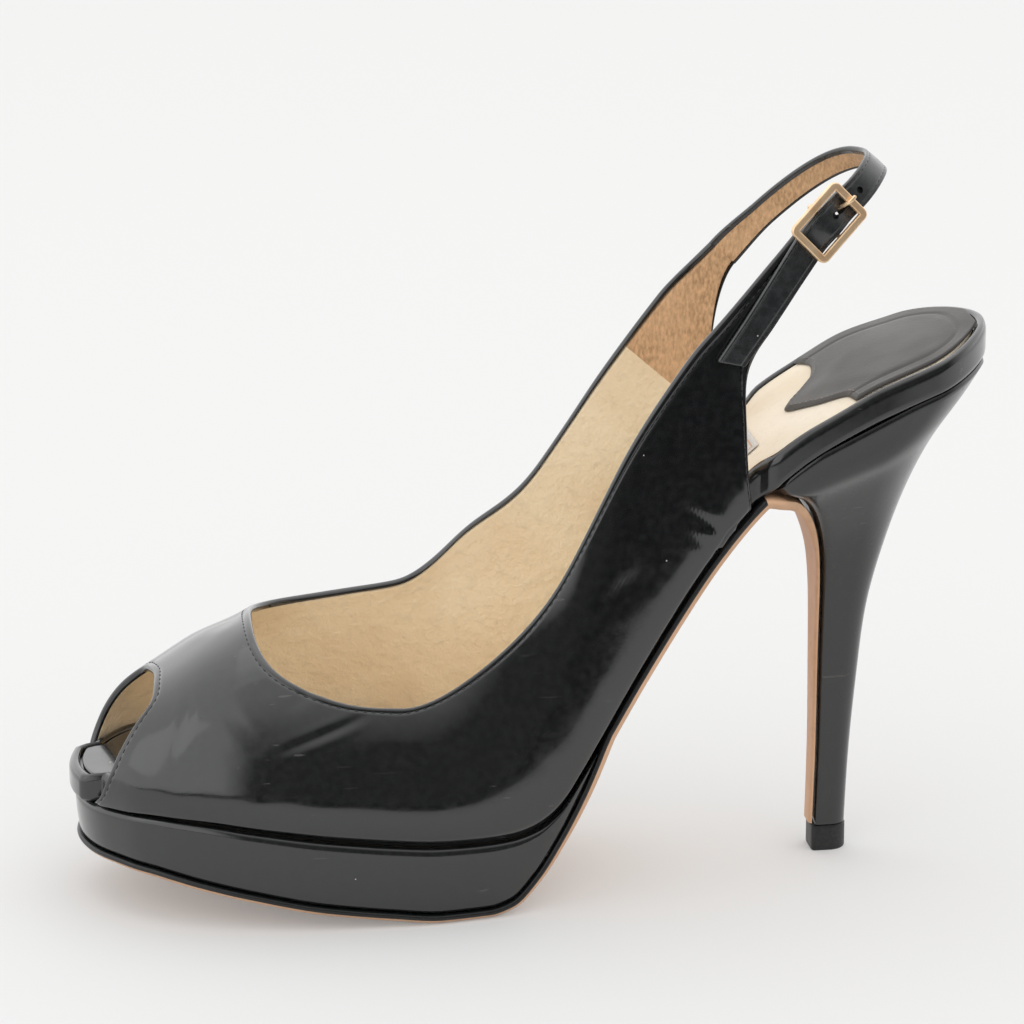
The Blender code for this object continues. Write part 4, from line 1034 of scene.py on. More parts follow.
def glazed_leather(name, colours, roughness=0.15, wave=0.000022, dust=0.22, coat=0.5, tone=1.0):
    """Black leather under a hard glaze, with dust, fine scratches and slow waves."""
    made, tree, shader, place = blank(name)
    grain = use(tree, grain_group(), Place=place, Size=0.0006, Unevenness=0.6)
    marks = use(tree, dust_group(), Place=place, Speck=0.00026, Amount=dust)
    waves = use(tree, wave_group(), Place=place, Size=0.016)
    # tone above 1 lifts the glaze colour as a whole; the strap uses it as painted sheen
    glaze = tinted(colours.glaze, tone)
    base = mix(tree, spread(tree, waves["Fine"], 0.35, 0.65), glaze, tinted(glaze, 1.7))
    dull = maths(tree, "MULTIPLY", marks["Scratches"], 0.25)
    scuffed = mix(tree, dull, base, (0.16, 0.15, 0.14))
    worn = maths(tree, "MULTIPLY", spread(tree, waves["Fine"], 0.35, 0.7), 0.07)
    worn = maths(tree, "ADD", worn, roughness - 0.03)
    rough = maths(tree, "ADD", worn, maths(tree, "MULTIPLY", dull, 0.8))
    lasted = bump(tree, shader, waves["Height"], wave * 8.0)
    bump(tree, shader, grain["Height"], 0.000004, 0.6, lasted)
    set_up(
        tree,
        shader,
        Base_Color=mix(tree, marks["Specks"], scuffed, colours.dust),
        Roughness=maths(tree, "ADD", rough, marks["Specks"], clamp=True),
        Specular_IOR_Level=0.7,
        Coat_Weight=coat,
        Coat_Roughness=0.06,
    )
    return made


def soft_leather(name, hue, shade, roughness, size=0.0007, depth=0.00010, crease=0.0, dirt=0.0):
    """Matt leather with grain, a slow change of tone and a little soiling."""
    made, tree, shader, place = blank(name)
    grain = use(tree, grain_group(), Place=place, Size=size, Unevenness=0.4)
    waves = use(tree, wave_group(), Place=place, Size=0.022)
    marks = use(tree, dust_group(), Place=place, Speck=0.00022, Amount=0.10)
    tone = mix(tree, spread(tree, waves["Height"], 0.35, 0.68), hue, shade)
    pits = maths(tree, "MULTIPLY", spread(tree, grain["Height"], 0.2, -0.5), 0.35)
    pored = mix(tree, pits, tone, shade)
    soil = maths(tree, "MULTIPLY", spread(tree, waves["Fine"], 0.52, 0.72), dirt)
    soiled = mix(tree, soil, pored, tinted(shade, 0.45))
    first = bump(tree, shader, waves["Fine"], crease) if crease else None
    bump(tree, shader, grain["Height"], depth, 0.8, first)
    set_up(
        tree,
        shader,
        Base_Color=mix(tree, marks["Specks"], soiled, tinted(shade, 0.5)),
        Roughness=spread(tree, grain["Tone"], 0.0, 1.0, roughness - 0.06, roughness + 0.07),
        Specular_IOR_Level=0.35,
    )
    return made


def napped_suede(name, hue, shade):
    """Short nap brushed in patches."""
    made, tree, shader, place = blank(name)
    stretched = node(tree, "ShaderNodeMapping", {"Vector": place, "Scale": (1.0, 1.0, 0.45)})
    nap = noise_node(tree, stretched.outputs[0], 1500.0, 4.0)["Fac"]
    waves = use(tree, wave_group(), Place=place, Size=0.010)
    fibre = maths(tree, "MULTIPLY", spread(tree, nap, 0.32, 0.68), 0.75)
    brushed = mix(tree, spread(tree, waves["Height"], 0.38, 0.62), hue, shade)
    bump(tree, shader, nap, 0.00035, 0.9)
    set_up(
        tree,
        shader,
        Base_Color=mix(tree, fibre, brushed, tinted(hue, 1.55)),
        Roughness=0.95,
        Specular_IOR_Level=0.15,
        Sheen_Weight=0.25,
        Sheen_Roughness=0.5,
    )
    return made


def gilt(name, colours):
    """Pale gilt plating, polished by hand, with hairlines and a little tarnish."""
    made, tree, shader, place = blank(name)
    waves = use(tree, wave_group(), Place=place, Size=0.004)
    marks = use(tree, dust_group(), Place=place, Speck=0.00010, Amount=0.3)
    polish = spread(tree, waves["Fine"], 0.3, 0.7, 0.28, 0.36)
    hairs = maths(tree, "MULTIPLY", marks["Scratches"], 0.15)
    tarnish = spread(tree, waves["Height"], 0.4, 0.7)
    bump(tree, shader, waves["Fine"], 0.000006, 0.5)
    set_up(
        tree,
        shader,
        Base_Color=mix(tree, tarnish, colours.metal, colours.metal_shade),
        Roughness=maths(tree, "ADD", polish, hairs),
        # Metallic below 1 shows part of the gilt colour as diffuse: painted reflection that keeps the buckle
        # bright where it mirrors the dark studio.
        Metallic=0.72,
    )
    return made


def waxed_edge(name, hue, roughness):
    """Ink and wax on a cut edge, or hard rubber, with fine grain and a slow change of tone."""
    made, tree, shader, place = blank(name)
    grain = use(tree, grain_group(), Place=place, Size=0.0004, Unevenness=0.8)
    waves = use(tree, wave_group(), Place=place, Size=0.006)
    bump(tree, shader, grain["Height"], 0.00003, 0.6)
    set_up(
        tree,
        shader,
        Base_Color=mix(tree, spread(tree, waves["Fine"], 0.4, 0.7), hue, tinted(hue, 2.2)),
        Roughness=spread(tree, grain["Tone"], 0.0, 1.0, roughness - 0.05, roughness + 0.1),
    )
    return made


def twisted_thread(name, hue):
    """Sewing thread with its ply."""
    made, tree, shader, place = blank(name)
    links = {"Vector": place, "Scale": 900.0, "Distortion": 1.0}
    ply = node(tree, "ShaderNodeTexWave", links, bands_direction="DIAGONAL").outputs["Fac"]
    bump(tree, shader, ply, 0.00005, 0.7)
    set_up(tree, shader, Base_Color=mix(tree, ply, hue, tinted(hue, 2.0)), Roughness=0.55)
    return made


def leather(title, colours, key, roughness, **settings):
    """Soft leather in one of the shoe's colours and its darker shade."""
    return soft_leather(title, getattr(colours, key), getattr(colours, f"{key}_shade"), roughness, **settings)


FINISHES = {}


def finish(name):
    """The named finish, made the first time that it is asked for."""
    if name in FINISHES:
        return FINISHES[name]
    tones = bpy.context.scene.pump_colours
    ribbon, line = tinted(tones.label, 0.85), tinted(tones.sole_shade, 0.7)
    cover = dict(roughness=0.19, wave=0.000015, dust=0.12)
    heel = dict(roughness=0.24, wave=0.000015, dust=0.06, coat=0.3)
    # The strap's glaze colour is lifted 2.6 times over the upper's: painted sheen on the same black leather.
    strap = dict(roughness=0.26, wave=0.000012, coat=0.3, tone=2.6)
    makers = {
        "glaze": lambda: glazed_leather("glazed_leather", tones),
        "cover": lambda: glazed_leather("glazed_cover", tones, **cover),
        "heel": lambda: glazed_leather("glazed_heel_cover", tones, **heel),
        "strap": lambda: glazed_leather("glazed_strap", tones, **strap),
        "lining": lambda: leather("kid_lining", tones, "lining", 0.55, crease=0.0005, dirt=0.12),
        "sock": lambda: leather("sock_leather", tones, "sock", 0.50, depth=0.00004, dirt=0.08),
        "pad": lambda: leather("pad_leather", tones, "pad", 0.42, depth=0.00005),
        "sole": lambda: leather("sole_leather", tones, "sole", 0.48, size=0.0004, depth=0.00003, dirt=0.2),
        "label": lambda: soft_leather("label_ribbon", tones.label, ribbon, 0.4, size=0.0003, depth=0.00003),
        "label_line": lambda: soft_leather("label_frame_line", tones.sole_shade, line, 0.5),
        "suede": lambda: napped_suede("strap_suede", tones.suede, tones.suede_shade),
        # The edge finish is ink on the sole's edge and painted shade on the walls of the strap's holes.
        "edge": lambda: waxed_edge("inked_edge", tones.glaze, 0.30),
        "rubber": lambda: waxed_edge("top_lift_rubber", tinted(tones.glaze, 1.5), 0.42),
        "metal": lambda: gilt("buckle_gilt", tones),
        "thread": lambda: twisted_thread("black_thread", tones.thread),
        "pad_thread": lambda: twisted_thread("pad_thread", tinted(tones.pad, 1.5)),
    }
    FINISHES[name] = makers[name]()
    return FINISHES[name]


# Sizes, colours and stage


def length(label, value, text):
    return FloatProperty(name=label, description=text, default=value, unit="LENGTH", precision=5, min=0.0)


def colour(label, value, text):
    limits = dict(subtype="COLOR", size=3, min=0.0, max=1.0)
    return FloatVectorProperty(name=label, description=text, default=value, **limits)


def amount(label, value, text, least=0.0):
    return FloatProperty(name=label, description=text, default=value, min=least)


class PumpSizes(PropertyGroup):
    mesh_pitch: length("Mesh pitch", 0.00085, "Distance between the upper's columns of points")
    binding: length("Binding", 0.0014, "Width of the black leather that folds over each edge of the upper")
    low_binding: length("Low binding", 0.0008, "Width of the black fold along the peep and the rear edges")
    skin: length("Skin", 0.00095, "Thickness of the glazed leather")
    seam_inset: length("Seam inset", 0.0020, "Distance from an edge of the upper to its row of stitches")
    seam_sink: length("Seam sink", 0.00016, "Depth that the row of stitches pulls into the leather")
    stitch_pitch: length("Stitch pitch", 0.00200, "Distance from one stitch to the next")
    stitch_length: length("Stitch length", 0.00145, "Length of one stitch on the surface")
    thread: length("Thread", 0.00034, "Thickness of the sewing thread")
    strap_line: length("Strap line", 0.0010, "Distance from the strap's edge to its creased line")
    strap_sink: length("Strap sink", 0.00014, "Depth of the strap's creased line")
    buckle_rail: length("Buckle rail", 0.0018, "Width of the buckle's flat rails")
    buckle_corner: length("Buckle corner", 0.0008, "Radius of the buckle's corners")
    pad_margin: length("Pad margin", 0.0030, "Distance from the seat's edge to the pad")
    pad_border: length("Pad border", 0.0042, "Distance from the seat pad's rim to its pressed line")


class PumpColours(PropertyGroup):
    glaze: colour("Glaze", (0.0052, 0.0056, 0.0058), "Glazed black leather")
    dust: colour("Dust", (0.45, 0.43, 0.40), "Specks of dust")
    lining: colour("Lining", (0.95, 0.80, 0.57), "Kid lining")
    lining_shade: colour("Lining shade", (0.88, 0.70, 0.47), "Darker patches of the lining")
    suede: colour("Suede", (0.54, 0.34, 0.19), "Suede inside the straps")
    suede_shade: colour("Suede shade", (0.42, 0.255, 0.135), "Suede brushed the other way")
    sock: colour("Sock", (0.91, 0.82, 0.68), "Ivory sock")
    sock_shade: colour("Sock shade", (0.80, 0.68, 0.51), "Darker patches of the sock")
    pad: colour("Pad", (0.085, 0.080, 0.074), "Seat pad")
    pad_shade: colour("Pad shade", (0.060, 0.056, 0.052), "Darker patches of the seat pad")
    label: colour("Label", (0.62, 0.62, 0.60), "Bare label")
    sole: colour("Sole", (0.72, 0.45, 0.28), "Tan sole leather")
    sole_shade: colour("Sole shade", (0.62, 0.37, 0.22), "Darker patches of the sole")
    metal: colour("Metal", (0.98, 0.72, 0.46), "Gilt of the buckle")
    metal_shade: colour("Metal shade", (0.86, 0.56, 0.32), "Gilt where it has tarnished")
    thread: colour("Thread", (0.020, 0.020, 0.021), "Sewing thread")


class PumpStage(PropertyGroup):
    floor: colour("Floor", (0.58, 0.58, 0.575), "Pale floor")
    floor_glow: amount("Floor glow", 0.20, "Light that the floor gives off")
    sky: amount("Sky", 1.35, "Brightness of the studio behind the shoe")
    top_power: amount("Top light", 1.2, "Power of the light overhead")
    side_power: amount("Side light", 0.5, "Power of the light on the left")
    table_front: length("Table front", 0.37, "Distance to the front end of the bright table")
    ambient: amount("Ambient", 1.15, "Soft light from all sides")
    distance: length("Camera distance", 1.295, "Distance from the camera to the shoe's middle")
    lens: amount("Lens", 196.9, "Focal length in millimetres", 1.0)
    turn: amount("Camera turn", 9.0, "Degrees that the camera stands towards the toe")
    tilt: amount("Camera tilt", 17.5, "Degrees that the camera looks down")


# Upper


def evened(points, pitch, width):
    """Columns averaged with their neighbours, the near ones counting most."""
    reach = int(2.2 * width / pitch)
    weights = np.exp(-((np.arange(-reach, reach + 1) * pitch / width) ** 2))
    weights /= weights.sum()
    first, last = np.repeat(points[:1], reach, axis=0), np.repeat(points[-1:], reach, axis=0)
    padded = np.concatenate([first, points, last])
    return sum(weight * padded[k : k + len(points)] for k, weight in enumerate(weights))


def fine_upper(pitch, rows=41):
    """Fine columns of the upper's outer face, from the buckle round to the joint."""
    grid = upper_grid(rows)
    grid = soften(grid, 10, 15)
    grid = soften(grid, len(grid) - 6, len(grid) - 2)
    middle = grid[:, rows // 2]
    steps = travelled(middle)
    wanted = np.linspace(0.0, steps[-1], int(steps[-1] / pitch))
    fine = natural_spline(steps, grid.reshape(len(grid), -1), wanted).reshape(len(wanted), rows, 3)
    place, side = fine[:, rows // 2, 0] / LENGTH, fine[:, rows // 2, 1]
    towards_top = np.linspace(0.0, 1.0, rows)
    far = blend(side, 0.004, 0.012) * blend(place, 0.30, 0.36) * (1.0 - blend(place, 0.66, 0.74))
    near = blend(-side, 0.004, 0.012) * blend(place, 0.24, 0.32) * (1.0 - blend(place, 0.74, 0.78))
    throat = blend(-place, -0.30, -0.20)
    shares = (
        (0.0055, far[:, None] * np.ones(rows)),
        (0.0075, near[:, None] * blend(towards_top, 0.15, 0.55)),
        (0.0088, throat[:, None] * blend(towards_top, 0.45, 1.0)),
    )
    for width, share in shares:
        fine = fine + (evened(fine, pitch, width) - fine) * share[..., None]
    along = np.clip(fine[..., 0] / LENGTH, 0.0, 1.0)
    fine[..., 2] = np.maximum(fine[..., 2], feather_height(along))
    normals = grid_normals(fine)
    if normals[len(fine) // 3, 2, 1] > 0.0:
        normals = -normals
    return fine, normals


# Width of the upper's pressed seam line, depth and reach of its tuck at the sole,
# and height of the slow swell of its leather
SEAM_LINE, TUCK_DEPTH, TUCK_REACH, SWELL = 0.00028, 0.0013, 0.0030, 0.00002
# Distance between the binding and the lining, the lining's clearance inside the wall,
# and where the foot's flex wrinkles the lining most, with its reach
LINING_INSET, LINING_CLEARANCE, FLEX_AT, FLEX_REACH = 0.00025, 0.00004, 0.070, 0.035
# Pitch, length and thread of the stitches on the sling strap and on the pad
STRAP_SEWN, PAD_SEWN = (0.0018, 0.0012, 0.00022), (0.0016, 0.0011, 0.00026)
# Radius of the strap's edges, width of its creased line, height of its dome and
# depth of its suede face
STRAP_ROUND, STRAP_LINE_WIDTH, STRAP_DOME, SUEDE_SINK = 0.00045, 0.00018, 0.00012, 0.00012
# Depth and width of the pad's pressed line, and height of the pad's filling inside it
PAD_PRESS, PAD_PRESS_WIDTH, PAD_SWELL = 0.00030, 0.0005, 0.00030
# Distance of the label's woven line from its edge, and the line's width
LABEL_LINE, LABEL_LINE_WIDTH = 0.0010, 0.0003
# The point that the camera looks at, measured from the toe tip
LOOKED_AT = (0.10271, 0.0, 0.08664)
# Rows of points near the edges of the upper, by distance from the edge
EDGE_STEPS = np.array(
    [0.0, 0.00010, 0.00026, 0.00048, 0.00075, 0.0011, 0.0015, 0.0018, 0.0020, 0.0022, 0.0026, 0.0031]
)


def respaced(points, normals, start, end, edges, between):
    """Columns read again by distance from the top edge, closer together at both edges."""
    made, facing, inset = [], [], []
    for column_points, column_normals in zip(points, normals):
        down = column_points[::-1]
        turned = column_normals[::-1]
        steps = travelled(down)
        total = steps[-1]
        spare = edges[-1] + start
        body = np.linspace(spare, total - end - edges[-1], between + 2)[1:-1]
        at = np.concatenate([start + edges, body, (total - end - edges)[::-1]])
        made.append(read_at(at, steps, down))
        facing.append(unit(read_at(at, steps, turned)))
        inset.append(np.stack([at, total - at], axis=1))
    return np.array(made), np.array(facing), np.array(inset)


# Creases of the worn upper: two ends by distance from the toe tip and height, then
# width, depth and side of the foot.
CREASES = table(
    "start_along start_up end_along end_up width depth side",
    (0.0443, 0.0430, 0.0640, 0.0495, 0.0009, 0.00022, -1),
    (0.0480, 0.0520, 0.0560, 0.0580, 0.0013, 0.00016, -1),
    (0.0330, 0.0500, 0.0410, 0.0440, 0.0016, 0.00012, -1),
    (0.0660, 0.0420, 0.0790, 0.0400, 0.0015, 0.00012, -1),
    (0.0200, 0.0400, 0.0260, 0.0520, 0.0010, 0.00018, -1),
    (0.1380, 0.0930, 0.1500, 0.0860, 0.0013, 0.00022, -1),
    (0.1400, 0.0870, 0.1490, 0.0810, 0.0011, 0.00016, -1),
    (0.1180, 0.0700, 0.1290, 0.0790, 0.0024, 0.00016, -1),
    (0.0950, 0.0520, 0.1120, 0.0560, 0.0030, 0.00014, -1),
    (0.0500, 0.0440, 0.0700, 0.0520, 0.0012, 0.00024, 1),
    (0.0560, 0.0540, 0.0660, 0.0590, 0.0014, 0.00016, 1),
    (0.0850, 0.0420, 0.1010, 0.0470, 0.0028, 0.00016, 1),
    (0.1350, 0.0900, 0.1480, 0.0840, 0.0013, 0.00020, 1),
)


def creased(points):
    """How far each point of the upper sinks into its creases."""
    sink = np.zeros(points.shape[:-1])
    for i in range(len(CREASES["side"])):
        start = np.array([CREASES["start_along"][i], CREASES["start_up"][i]])
        end = np.array([CREASES["end_along"][i], CREASES["end_up"][i]])
        run = end - start
        reach = float(np.linalg.norm(run))
        place = points[..., [0, 2]] - start
        share = np.clip(place @ run / reach**2, 0.0, 1.0)
        away = np.linalg.norm(place - share[..., None] * run, axis=-1) / CREASES["width"][i]
        fade = np.sin(math.pi * np.clip(0.08 + 0.84 * share, 0.0, 1.0))
        ours = np.sign(points[..., 1]) == CREASES["side"][i]
        form = np.exp(-(away**2)) - 0.35 * np.exp(-((away - 1.9) ** 2))
        sink += CREASES["depth"][i] * form * fade * ours
    return sink


# The seam where the lining gives way to suede: a point and the seam's normal.
SUEDE_SEAM = (np.array([0.1335 - TREAD_CENTRE, 0.0, 0.1192]), np.array([0.0098, 0.0, 0.0108]))


def past_seam(points):
    """Which points of the lining lie beyond the seam, where the suede starts."""
    return (points - SUEDE_SEAM[0]) @ SUEDE_SEAM[1] > 0.0


def make_upper_skin(sizes):
    points, normals = fine_upper(sizes.mesh_pitch)
    fold = 0.5 * UPPER_WALL
    grid, facing, inset = respaced(points, normals, 0.0, 0.0, EDGE_STEPS, 26)
    near = inset.min(axis=-1)
    feather = feather_height(np.clip(grid[:, -1, 0] / LENGTH, 0.0, 1.0))
    seated = np.abs(grid[:, -1, 2] - feather) < 2e-4
    turn = np.where(near < fold, fold - np.sqrt(np.clip(fold**2 - (fold - near) ** 2, 0.0, None)), 0.0)
    line = np.exp(-(((near - sizes.seam_inset) / SEAM_LINE) ** 2))
    lasted = seated[:, None] & (inset[..., 1] < inset[..., 0])
    line[lasted] = 0.0
    tuck = np.where(lasted, TUCK_DEPTH * np.clip(1.0 - near / TUCK_REACH, 0.0, 1.0) ** 2, 0.0)
    swell = SWELL * ripple(grid, 0.011, 3.7) * blend(near, 0.001, 0.006)
    outer = grid - facing * (turn + sizes.seam_sink * line + creased(grid) + tuck - swell)[..., None]
    folded = np.where(inset[..., 0] < inset[..., 1], sizes.binding, sizes.low_binding)
    wall = UPPER_WALL + (sizes.skin - UPPER_WALL) * blend(near - folded, -0.0001, 0.0003)
    inner = grid - facing * (wall - turn)[..., None]
    seat = feather[:, None] + 1e-5
    inner[..., 2] = np.where(lasted & (inner[..., 2] < seat), seat, inner[..., 2])
    put("upper_skin", shell(world(outer), world(inner)), [finish("glaze")], ("upper",))
    make_lining(points, normals, sizes)
    row = int(np.argmin(np.abs(EDGE_STEPS - sizes.seam_inset)))
    low = outer.shape[1] - 1 - row
    runs = [(world(outer[:, row]), facing[:, row])]
    free = ~seated
    edges = np.flatnonzero(np.diff(free.astype(int)))
    for piece in np.split(np.arange(len(free)), edges + 1):
        if free[piece[0]] and len(piece) > 8:
            runs.append((world(outer[piece, low]), facing[piece, low]))
    sewn = sizes.stitch_pitch, sizes.stitch_length, sizes.thread
    stitches("upper_stitches", runs, *sewn, finish("thread"))


def make_lining(points, normals, sizes):
    """Kid lining inside the upper, which gives way to suede in the straps."""
    start, end = sizes.binding + LINING_INSET, sizes.low_binding + LINING_INSET
    steps = np.array([0.0, 0.00015, 0.0004, 0.0009])
    grid, facing, inset = respaced(points[::2], normals[::2], start, end, steps, 34)
    near = np.minimum(inset[..., 0] - start, inset[..., 1] - end)
    round_edge = 0.00035 * np.clip(1.0 - near / 0.0004, 0.0, 1.0) ** 2
    flex = np.exp(-(((grid[..., 0] - FLEX_AT) / FLEX_REACH) ** 2)) + 0.35
    drape = 0.00009 * ripple(grid, 0.0055, 8.1, (2.4, 1.0, 0.8))
    drape = drape + 0.00010 * ripple(grid, 0.0024, 1.9, (2.0, 1.0, 0.8))
    slack = blend(near, 0.001, 0.006) * flex * drape
    inner = grid - facing * (UPPER_WALL - LINING_CLEARANCE - round_edge + slack)[..., None]
    outer = grid - facing * (sizes.skin + 0.00006)
    skin = shell(world(outer), world(inner))
    put("upper_lining", skin, [finish("lining"), finish("suede")], rule=past_seam, seam=SUEDE_SEAM)


class PUMP_OT_upper(Operator):
    """Make the glazed upper, its lining and its stitches"""

    bl_idname = "pump.upper"
    bl_label = "Upper"

    def execute(self, context):
        make_upper_skin(context.scene.pump_sizes)
        return {"FINISHED"}


# Sling strap and buckle


def strap_profile(half, sizes):
    """The strap's cross-section, as (across, lift, is_suede) round it."""
    thick, radius = 0.5 * STRAP_LEATHER, STRAP_ROUND
    places = []
    for across in np.linspace(-half + radius, half - radius, 41):
        edge = half - abs(across)
        sink = sizes.strap_sink * math.exp(-(((edge - sizes.strap_line) / STRAP_LINE_WIDTH) ** 2))
        dome = STRAP_DOME * (1.0 - (across / half) ** 2)
        places.append((across, thick - STRAP_DOME - sink + dome, 0))
    for turn in np.linspace(0.5 * math.pi, -0.5 * math.pi, 9)[1:-1]:
        places.append((half - radius + radius * math.cos(turn), thick * math.sin(turn), 0))
    for across in np.linspace(half - radius, -half + radius, 33):
        covered_edge = half - across > 0.0014 and half + across > 0.0007
        places.append((across, -thick + (SUEDE_SINK if covered_edge else 0.0), int(covered_edge)))
    for turn in np.linspace(1.5 * math.pi, 0.5 * math.pi, 9)[1:-1]:
        places.append((-half + radius + radius * math.cos(turn), thick * math.sin(turn), 0))
    return places


def make_sling(sizes):
    start = STRAP.buckle - FREE_END
    joint = STRAP.end - JOINT_BACK - GAP
    last = joint + 2.0 * GAP
    rounding = start + np.array([0.0, 0.00008, 0.0002, 0.0004])
    stops = np.concatenate([rounding, np.linspace(start + 0.0009, last, 330)])
    rings, suede = [], []
    for at in stops:
        half = STRAP_WIDTH * sling_half(min(at, joint), joint)
        tip = min((at - start) / 0.0004, 1.0)
        shrink = 0.80 + 0.20 * math.sqrt(max(1.0 - (1.0 - tip) ** 2, 0.0))
        profile = strap_profile(half, sizes)
        across = np.array([place[0] for place in profile])
        lifts = np.array([place[1] for place in profile]) * shrink + sling_lift(at)
        shear = 0.0011 * np.clip(1.0 - (at - start) / 0.006, 0.0, 1.0) * across / half
        across = across * (1.0 - (1.0 - shrink) * 0.4)
        rings.append(world(STRAP.point(at - shear, across, lifts)))
        suede = [place[2] for place in profile]
    rings = np.array(rings)
    strap = put("sling", loft(rings), [finish("strap"), finish("suede")], ("sling_strap",))
    sides = np.array(suede) * np.roll(suede, -1)
    choice = np.zeros(len(strap.data.polygons), dtype=np.int32)
    choice[: (len(rings) - 1) * len(sides)] = np.tile(sides, len(rings) - 1)
    assign(strap.data, choice)
    punch(strap)
    runs = []
    for sign in (1.0, -1.0):
        at = np.linspace(start + 0.002, joint - 0.001, 200)
        lift = np.array([sling_lift(value) for value in at])
        half = np.array([STRAP_WIDTH * sling_half(value, joint) for value in at])
        line = STRAP.point(at, sign * (half - sizes.strap_line), lift + 0.5 * STRAP_LEATHER - 0.0002)
        runs.append((world(line), STRAP.frame(at)[3]))
    stitches("sling_stitches", runs, *STRAP_SEWN, finish("thread"))


def punch(strap):
    """Punches the strap's holes; their walls take the black edge finish, painted shade that keeps the holes
    dark.
    """
    for number, (from_bar, stretch) in enumerate(HOLES):
        middle, tangent, width, out = STRAP.frame(STRAP.buckle + from_bar)
        centre = world(middle + out * sling_lift(STRAP.buckle + from_bar))
        radius = 0.5 * HOLE_WIDTH
        rings = []
        turns = np.linspace(0.0, 2.0 * math.pi, 28, endpoint=False)
        for depth in (-0.12 * STRAP_LEATHER, 0.002):
            ring = centre + out * depth + np.outer(np.cos(turns) * radius * stretch, tangent)
            rings.append(ring + np.outer(np.sin(turns) * radius, width))
        vertices, faces = loft(np.array(rings))
        mesh = bpy.data.meshes.new(f"punch_{number}")
        mesh.from_pydata(vertices.tolist(), [], faces)
        # Black walls: painted shade inside each hole.
        mesh.materials.append(finish("edge"))
        tool = bpy.data.objects.new(f"punch_{number}", mesh)
        bpy.context.scene.collection.objects.link(tool)
        modifier = strap.modifiers.new(f"hole_{number}", "BOOLEAN")
        modifier.operation = "DIFFERENCE"
        modifier.object = tool
        modifier.solver = "EXACT"
        modifier.material_mode = "TRANSFER"
    bpy.context.view_layer.update()
    seen = strap.evaluated_get(bpy.context.evaluated_depsgraph_get())
    cut = bpy.data.meshes.new_from_object(seen)
    strap.modifiers.clear()
    strap.data = cut
    for number in range(len(HOLES)):
        bpy.data.objects.remove(bpy.data.objects[f"punch_{number}"], do_unlink=True)


def swept(path, profile, closed, guide=(0.0, 0.0, 1.0)):
    """Rings of a bar; profile gives (side, up) offsets in the buckle's own axes."""
    path = np.array(path, float)
    if closed:
        tangent = unit(np.roll(path, -1, axis=0) - np.roll(path, 1, axis=0))
    else:
        tangent = unit(np.gradient(path, axis=0))
    rings = []
    for i, (point, forward) in enumerate(zip(path, tangent)):
        side = unit(np.cross(forward, np.array(guide)))
        up = np.cross(side, forward)
        shape = profile(i / (len(path) - 1)) if callable(profile) else profile
        rings.append([buckle_point(*(point + side * a + up * b)) for a, b in shape])
    return np.array(rings)


def bar_profile(width, height, power=4.0, count=28):
    """Rounded rectangle round a bar."""
    turns = np.linspace(0.0, 2.0 * math.pi, count, endpoint=False)
    cosine, sine = np.cos(turns), np.sin(turns)
    size = (np.abs(cosine) ** power + np.abs(sine) ** power) ** (-1.0 / power)
    return np.stack([0.5 * width * size * cosine, 0.5 * height * size * sine], axis=1)


